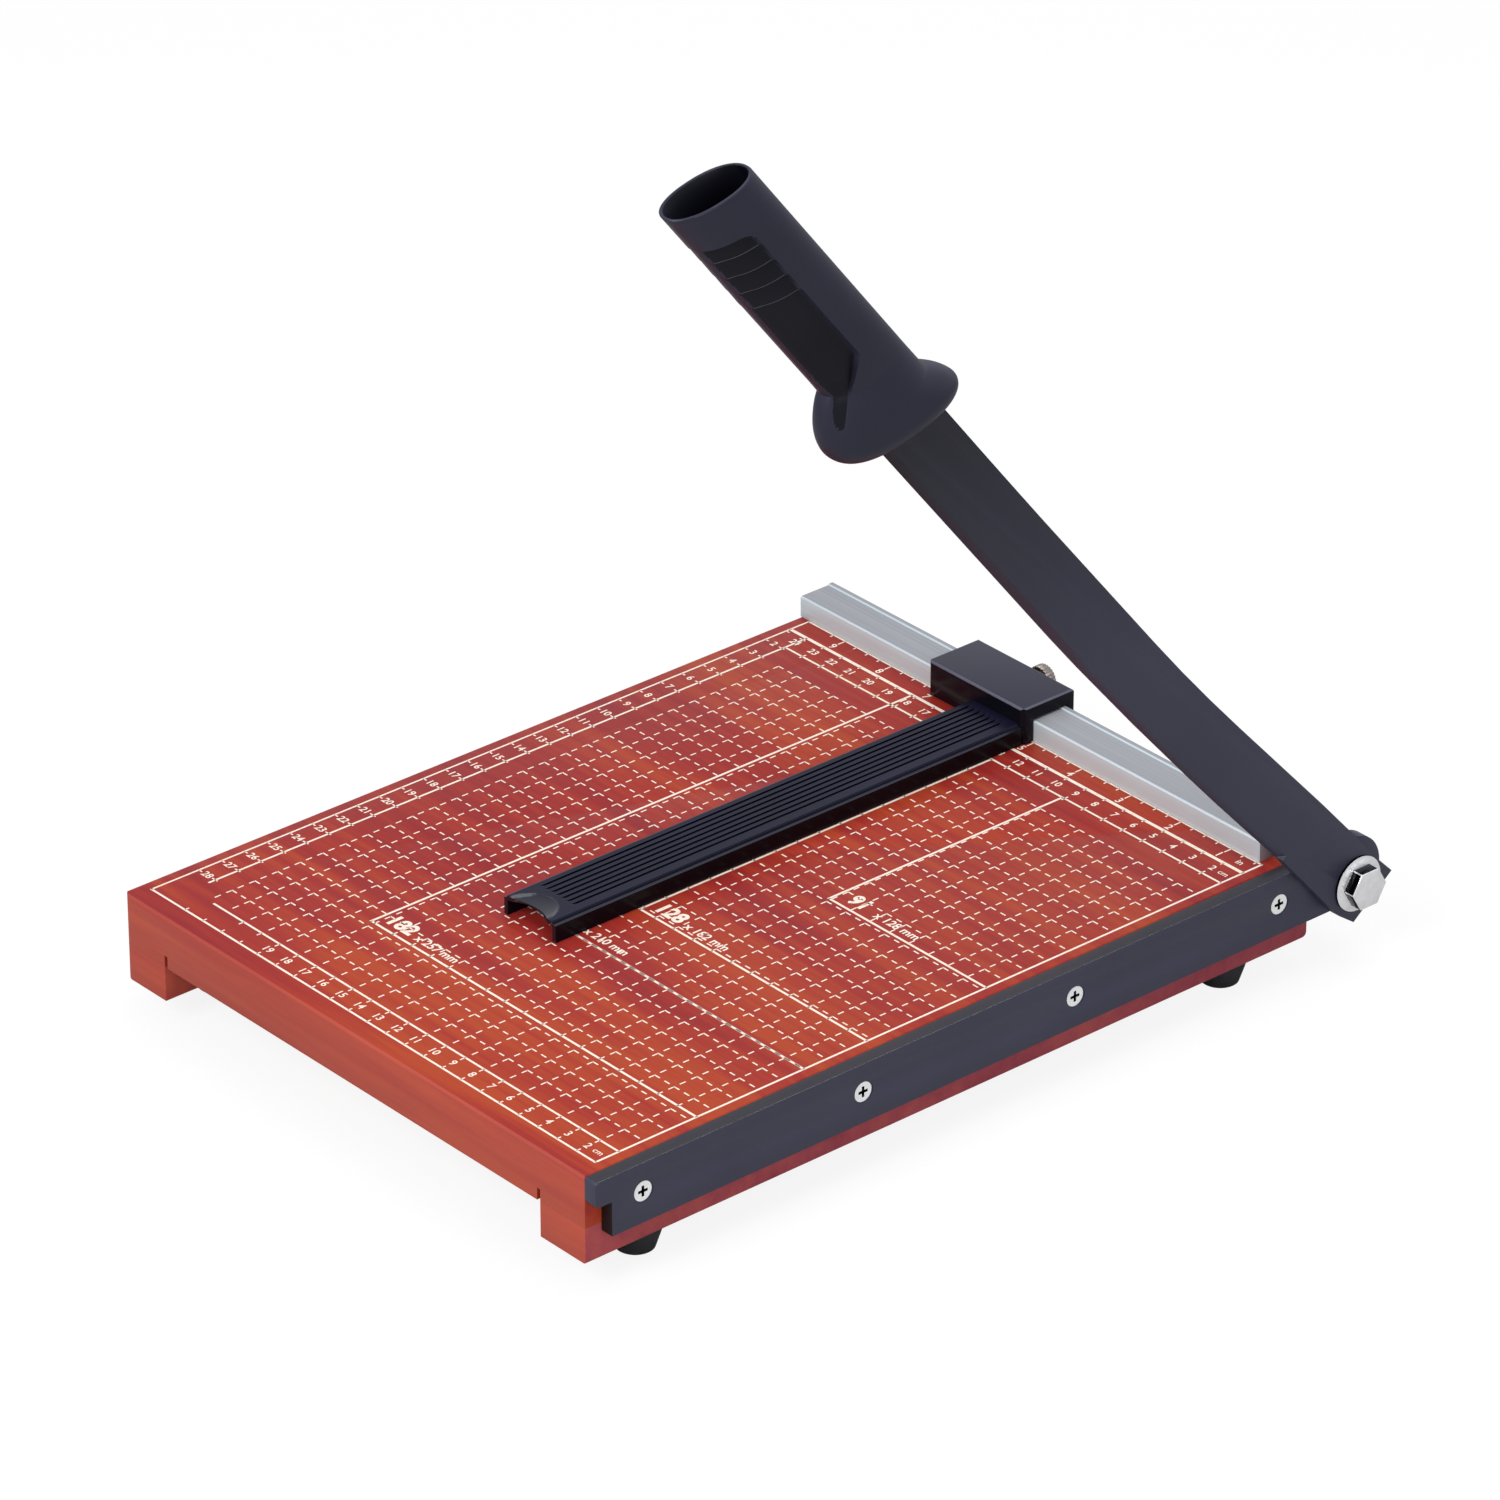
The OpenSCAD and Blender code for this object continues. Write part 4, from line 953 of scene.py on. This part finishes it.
def grip_rings():
    """Stations of the grip's rings: outside from the guard's rim to the open end, then over
    its lip and down the bore."""
    outer = stations(RIM_T, RIM_T + 1.2, 0.3) + stations(RIM_T + 1.2, RIM_T + 6, 0.6)
    outer += stations(RIM_T + 6, 407, 1.3)
    fine = stations(407, 438, 0.6) + stations(438, 445.2, 0.3)
    outer += [t for t in fine if all(abs(t - line) > 0.8 for line in RIDGE_LINES)]
    outer += [line + d for line in RIDGE_LINES for d in (-0.7, -0.12, 0.12, 0.35, 0.7)]
    outer += stations(445.2, END_T - 0.7, 2)
    rings = [(t, 0.0, True) for t in sorted(outer)]
    rings += [(END_T - 0.7, 0.0, False), (END_T - 0.25, 0.12, False), (END_T, 0.4, False)]
    rings += [(END_T, 0.9, False), (END_T - 0.4, 1.2, False)]
    rings += [(END_T - 10, 2.4, False), (END_T - 20, 3.8, False), (END_T - 57, 4.2, False)]
    return rings


def key_of(point):
    """A point's coordinates rounded, so that the same point is found again."""
    return tuple(round(c, 7) for c in point)


def grip_shell():
    """The grip before its cuts; the recess with the bore gets a material of painted shade, and
    the crests one of painted highlight."""
    rings, in_shade, highlit = [], set(), set()
    for t, inset, carve in grip_rings():
        crest = min(abs(t - line - 0.12) for line in RIDGE_LINES) < 0.25
        bore = inset > 1.1
        found = [grip_point(t, angle, inset, carve) for angle in ring_angles(t)]
        rings.append([from_arm(*spot) for spot, _ in found])
        for point, (_, depth) in zip(rings[-1], found):
            if depth > 0.3 or bore:
                in_shade.add(key_of(point))
                if crest:
                    highlit.add(key_of(point))
    mesh = lofted(rings)
    for face in mesh.faces:
        corners = {key_of(v.co) for v in face.verts}
        face.material_index = 2 if corners <= highlit else 1 if corners <= in_shade else 0
    return mesh


BLADE_END = 345.3
SLOT = (-2.3, 2.3)
SCREW_TS, SCREW_N, SCREW_HEAD_R, SEAT = (363.3, 385.3), 2.6, 4.1, -6.4


def arm_box(t, n, across):
    """A box cutter given by its ranges in arm coordinates."""
    mesh = bmesh.new()
    bmesh.ops.create_cube(mesh, size=1)
    for v in mesh.verts:
        spots = [r[0] if c < 0 else r[1] for r, c in zip((t, n, across), v.co)]
        v.co = from_arm(*spots)
    bmesh.ops.recalc_face_normals(mesh, faces=mesh.faces)
    return mesh


def arm_wedge():
    """The room beside the arm: no inner half of the guard until past the knife's end."""
    mesh = bmesh.new()
    section = [
        (296, -2.05),
        (BLADE_END, -2.05),
        (BLADE_END + 10, -14.05),
        (BLADE_END + 10, -30),
        (296, -30),
    ]
    face = mesh.faces.new([mesh.verts.new(from_arm(t, -60, x)) for t, x in section])
    grown = bmesh.ops.extrude_face_region(mesh, geom=[face])["geom"]
    shift = from_arm(0, 60, 0) - from_arm(0, -60, 0)
    bmesh.ops.translate(
        mesh, vec=shift, verts=[v for v in grown if isinstance(v, bmesh.types.BMVert)]
    )
    bmesh.ops.recalc_face_normals(mesh, faces=mesh.faces)
    return mesh


def arm_cylinder(t, n, across, radius):
    """A round cutter lying across the arm."""
    mesh = bmesh.new()
    made = bmesh.ops.create_cone(
        mesh, cap_ends=True, segments=40, radius1=radius * MM, radius2=radius * MM, depth=1
    )["verts"]
    low, high = (from_arm(t, n, a) for a in across)
    turn = (high - low).to_track_quat("Z", "Y").to_matrix().to_4x4()
    size = Matrix.Diagonal((1, 1, (high - low).length, 1))
    spot = Matrix.Translation((low + high) / 2)
    bmesh.ops.transform(mesh, matrix=spot @ turn @ size, verts=made)
    return mesh


# Slots for the blade and for its tang, the room beside the arm, and seats for screw heads.
cutters = [
    arm_box((312.7, 344.35), (-15.6, 9.4), SLOT),
    arm_box((343.3, 400.5), (-9.05, 7.05), SLOT),
    arm_wedge(),
]
cutters += [arm_cylinder(t, SCREW_N, (-20, SEAT), SCREW_HEAD_R) for t in SCREW_TS]
grip = piece(cut(grip_shell(), cutters), "grip_moulded", GRIP_ABS, "arm", 40)
# The recess and the bore carry painted shade, and the crests a painted highlight.
grip.data.materials.append(RECESS_SHADE_ABS)
grip.data.materials.append(HIGHLIGHT_ABS)
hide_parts("handle_grip")


# Pivot spring

WIRE, COIL_R, SPRING_L, COIL_PITCH, SPRING_X = 2.0, 8.0, 19.1, 3.4, -7.5
BEND_STEPS, TURN_STEPS = 8, 40


def spring_route():
    """The wire's middle line: straight leg, bend, helix, bend, straight leg."""
    bend = WIRE * 0.8
    slope = math.atan(2 * math.pi * COIL_R / COIL_PITCH)
    turned = bend * (1 - math.cos(slope)) / COIL_R
    helix = SPRING_L - 2 * (WIRE + bend * math.sin(slope))
    turns = helix / COIL_PITCH
    leg = [(0.0, 0.0)]
    for i in range(BEND_STEPS + 1):
        s = slope * i / BEND_STEPS
        leg.append((WIRE + bend * math.sin(s), bend * (1 - math.cos(s)) / COIL_R))
    steps = round(turns * TURN_STEPS)
    middle = [
        (leg[-1][0] + helix * i / steps, turned + 2 * math.pi * turns * i / steps)
        for i in range(1, steps)
    ]
    whole = 2 * math.pi * turns + 2 * turned
    far = [(SPRING_L - x, whole - a) for x, a in reversed(leg)]
    return leg + middle + far


def spring_wire():
    """Hard-drawn spring wire, as one round tube along its route."""
    curve = bpy.data.curves.new("spring", "CURVE")
    curve.dimensions, curve.bevel_depth, curve.bevel_resolution = "3D", WIRE / 2 * MM, 5
    curve.use_fill_caps = True
    route = spring_route()
    line = curve.splines.new("POLY")
    line.points.add(len(route) - 1)
    for point, (x, a) in zip(line.points, route):
        y, z = PIVOT_Y + COIL_R * math.cos(a), PIVOT_Z + COIL_R * math.sin(a)
        point.co = (*at(SPRING_X - x, y, z), 1)
    holder = bpy.data.objects.new("spring", curve)
    bpy.context.scene.collection.objects.link(holder)
    mesh = bmesh.new()
    mesh.from_mesh(bpy.data.meshes.new_from_object(holder))
    bpy.data.objects.remove(holder)
    bmesh.ops.recalc_face_normals(mesh, faces=mesh.faces)
    return mesh


spring = piece(spring_wire(), "pivot_spring_wire", DULL_ZINC, "base", 50)
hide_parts("pivot_spring")


# Print on the bed

INK_Z = 0.03
TICK_W, LINE_W, EDGE_W, BORDER_W = 0.6, 0.9, 0.8, 1.5
CM, INCH = 10, 25.4


def stroke(mesh, a, b, width):
    """One printed line from a to b, given as (u, v): millimetres left of the shearing plane
    and in front of the zero line."""
    start, end = (at(-u, -v, INK_Z) for u, v in (a, b))
    run = end - start
    turn = Matrix.Rotation(math.atan2(run.y, run.x), 4, "Z")
    size = Matrix.Diagonal((run.length / 2, width / 2 * MM, 1, 1))
    spot = Matrix.Translation((start + end) / 2)
    bmesh.ops.create_grid(mesh, x_segments=1, y_segments=1, size=1, matrix=spot @ turn @ size)


RIGHT, LEFT_IN, LEFT_OUT = 10.4, 239.5, 248.8
BACK, THICK, THIN, FRONT_IN, FRONT_OUT = -1.0, 8.0, 18.6, 290.5, 300.6


def ruled_frame(mesh):
    """The frame of the scales, and the lines between its strips."""
    for v, width in ((BACK, EDGE_W), (THICK, BORDER_W), (THIN, LINE_W)):
        stroke(mesh, (RIGHT, v), (LEFT_IN if v == THIN else LEFT_OUT, v), width)
    stroke(mesh, (RIGHT, FRONT_IN), (227, FRONT_IN), LINE_W)
    stroke(mesh, (RIGHT - 0.4, FRONT_OUT), (LEFT_OUT + 0.4, FRONT_OUT), LINE_W)
    stroke(mesh, (RIGHT, BACK - 0.4), (RIGHT, FRONT_OUT), LINE_W)
    stroke(mesh, (LEFT_IN, THICK), (LEFT_IN, 283), LINE_W)
    stroke(mesh, (LEFT_OUT, BACK - 0.4), (LEFT_OUT, FRONT_OUT), EDGE_W)


def scale_ticks(mesh):
    """Ticks of the inch scale by quarters, and of the centimetre, left and front scales."""
    for quarter in range(2, 38):
        u = quarter * INCH / 4
        stroke(mesh, (u, BACK), (u, BACK + (3.6 if quarter % 4 == 0 else 1.8)), TICK_W)
    for cm in range(2, 24):
        u = cm * CM
        stroke(mesh, (u, THICK), (u, THICK + 1.6), TICK_W)
        stroke(mesh, (u, THIN - 1.8), (u, THIN + 1.4), TICK_W)
        if cm < 22:
            stroke(mesh, (u, FRONT_IN - 0.2), (u, FRONT_IN + 2.2), TICK_W)
        stroke(mesh, (u, FRONT_OUT - 1.8), (u, FRONT_OUT), TICK_W)
    for cm in range(1, 29):
        v = cm * CM
        stroke(mesh, (LEFT_OUT, v), (LEFT_OUT - 1.8, v), TICK_W)
        stroke(mesh, (LEFT_IN + 1.8, v), (LEFT_IN - 1.2, v), TICK_W)


DASH, MARK = 2.6, 0.3


def dashed_grid(mesh):
    """A centimetre grid of dashes, with an angle mark on every crossing."""
    for column in range(2, 24):
        for row in range(3, 29):
            u, v = column * CM, row * CM
            stroke(mesh, (u + MARK, v), (u - DASH, v), TICK_W)
            stroke(mesh, (u, v), (u, v + DASH), TICK_W)
            stroke(mesh, (u - CM / 2, v), (u - CM / 2 - DASH, v), TICK_W)
            stroke(mesh, (u, v + CM / 2), (u, v + CM / 2 + DASH), TICK_W)


SHEETS = ((91, 128), (128, 182), (148, 210), (182, 257))


def sheet_corners(mesh):
    """Outlines of common sheet sizes, from the cutting edge and the fence."""
    for u, v in SHEETS:
        stroke(mesh, (u, THICK if (u, v) == SHEETS[-1] else THIN), (u, v + 0.5), 1.0)
        stroke(mesh, (u, v), (RIGHT, v), 1.0)


# The font's size for a figure one millimetre high.
FONT_SIZE = 1.4


def lettering(mesh, text, u, v, height, bold):
    """A number printed with its middle at (u, v), read from the front of the trimmer."""
    curve = bpy.data.curves.new("figures", "FONT")
    curve.body, curve.size, curve.offset = text, height * FONT_SIZE * MM, bold * MM
    curve.align_x, curve.align_y = "CENTER", "CENTER"
    curve.resolution_u = 3
    holder = bpy.data.objects.new("figures", curve)
    bpy.context.scene.collection.objects.link(holder)
    flat = bpy.data.meshes.new_from_object(holder)
    flat.transform(Matrix.Translation(at(-u, -v, INK_Z)))
    mesh.from_mesh(flat)
    bpy.data.objects.remove(holder)
    bpy.data.meshes.remove(flat)


SCALE_H, SCALE_BOLD = 3.2, 0.08
UNIT_U, UNIT_H, UNIT_BOLD = 14.6, 2.6, 0.04
CM_V, FRONT_V = 13.4, 295.8


def figures(mesh):
    """Numbers of the four scales and of the sheet sizes."""
    for inch in range(1, 10):
        lettering(mesh, str(inch), inch * INCH + 0.2, 5.0, 3.4, SCALE_BOLD)
    lettering(mesh, "in", 16.5, 3.6, 3.0, 0.05)
    for v, end in ((CM_V, 25), (FRONT_V, 20)):
        for cm in range(2, end):
            lettering(mesh, str(cm), cm * CM, v, SCALE_H, SCALE_BOLD)
        lettering(mesh, "cm", UNIT_U, v, UNIT_H, UNIT_BOLD)
    for cm in range(2, 29):
        lettering(mesh, str(cm), (LEFT_IN + LEFT_OUT) / 2, cm * CM, SCALE_H, SCALE_BOLD)
    for u, v in SHEETS:
        lettering(mesh, str(u), u - 9.5, v - 6.0, 6.4, 0.35)
        lettering(mesh, f"x {v} mm", u - 30.0, v - 4.6, 3.8, 0.12)


def bed_print():
    """All the print, as one thin piece of ink on the bed."""
    mesh = bmesh.new()
    for part in (ruled_frame, scale_ticks, dashed_grid, sheet_corners, figures):
        part(mesh)
    piece(mesh, "bed_print", INK, "base")


bed_print()


# Studio

FLOOR_HALF, FLOOR_GAP = 6.0, 0.2
PAPER, GLOW, GLOW_SHARE = "#BEBEBE", 1.21, 0.72
SKY_LIGHT, SKY_SEEN, SKY_TINT = 0.4, 0.9, "#EFF1FF"
WHITE = (1, 1, 1, 1)

# Each lamp's name, place, width in metres and power in watts.
LAMPS = (
    ("key", (100, -1900, 1450), 1.1, 28),
    ("fill", (1700, -500, 900), 1.2, 10),
    ("top", (-100, 300, 1900), 1.4, 11),
)
LAMPS_AIM = (-100, -130, 40)


def backdrop_paper():
    """Pale matt paper that keeps shadows, glows towards white for the camera only, and is
    clear when seen from below."""
    paper = bpy.data.materials.new("backdrop_paper")
    paper.use_nodes = True
    tree = paper.node_tree
    tree.nodes.clear()
    lit = add(
        tree, "ShaderNodeBsdfPrincipled", {"Base Color": linear(PAPER), "Roughness": 0.8}
    )
    glow = add(tree, "ShaderNodeEmission", {"Color": WHITE, "Strength": GLOW})
    rays = add(tree, "ShaderNodeLightPath")
    share = add(
        tree,
        "ShaderNodeMath",
        {0: rays.outputs["Is Camera Ray"], 1: GLOW_SHARE},
        operation="MULTIPLY",
    )
    above = add(
        tree, "ShaderNodeMixShader", {0: share.outputs[0], 1: lit.outputs[0], 2: glow.outputs[0]}
    )
    facing = add(tree, "ShaderNodeNewGeometry")
    clear = add(tree, "ShaderNodeBsdfTransparent")
    both = add(
        tree,
        "ShaderNodeMixShader",
        {0: facing.outputs["Backfacing"], 1: above.outputs[0], 2: clear.outputs[0]},
    )
    add(tree, "ShaderNodeOutputMaterial", {"Surface": both.outputs[0]})
    return paper


def lay_floor():
    """The floor, a hair under the object's feet."""
    mesh = bmesh.new()
    bmesh.ops.create_grid(mesh, x_segments=1, y_segments=1, size=FLOOR_HALF)
    data = bpy.data.meshes.new("floor")
    mesh.to_mesh(data)
    mesh.free()
    data.materials.append(backdrop_paper())
    floor = bpy.data.objects.new("floor", data)
    bpy.context.scene.collection.objects.link(floor)
    floor.location.z = cad_box[0].z - FLOOR_GAP * MM


def light_world():
    """A soft even sky, brighter for the camera and in reflections, where it is a little
    cool."""
    world = bpy.data.worlds.new("studio")
    world.use_nodes = True
    tree = world.node_tree
    tree.nodes.clear()
    rays = add(tree, "ShaderNodeLightPath")
    seen = add(
        tree,
        "ShaderNodeMath",
        {0: rays.outputs["Is Camera Ray"], 1: rays.outputs["Is Glossy Ray"]},
        operation="MAXIMUM",
    )
    strength = add(
        tree,
        "ShaderNodeMapRange",
        {"Value": seen.outputs[0], "To Min": SKY_LIGHT, "To Max": SKY_SEEN},
    )
    cool = add(
        tree,
        "ShaderNodeMix",
        {0: rays.outputs["Is Glossy Ray"], "A": WHITE, "B": linear(SKY_TINT)},
        data_type="RGBA",
    )
    sky = add(
        tree,
        "ShaderNodeBackground",
        {"Color": cool.outputs[2], "Strength": strength.outputs[0]},
    )
    add(tree, "ShaderNodeOutputWorld", {"Surface": sky.outputs[0]})
    bpy.context.scene.world = world


def hang_lamps():
    """Round soft lamps from the front, the right and above, aimed at the bed."""
    for name, place, size, watts in LAMPS:
        lamp = bpy.data.lights.new(name, "AREA")
        lamp.shape, lamp.size, lamp.energy = "DISK", size, watts
        holder = bpy.data.objects.new(name, lamp)
        bpy.context.scene.collection.objects.link(holder)
        holder.location = at(*place)
        aim = at(*LAMPS_AIM) - holder.location
        holder.rotation_euler = aim.to_track_quat("-Z", "Y").to_euler()


lay_floor()
light_world()
hang_lamps()
place_camera()
bpy.context.scene.view_settings.view_transform = "Standard"
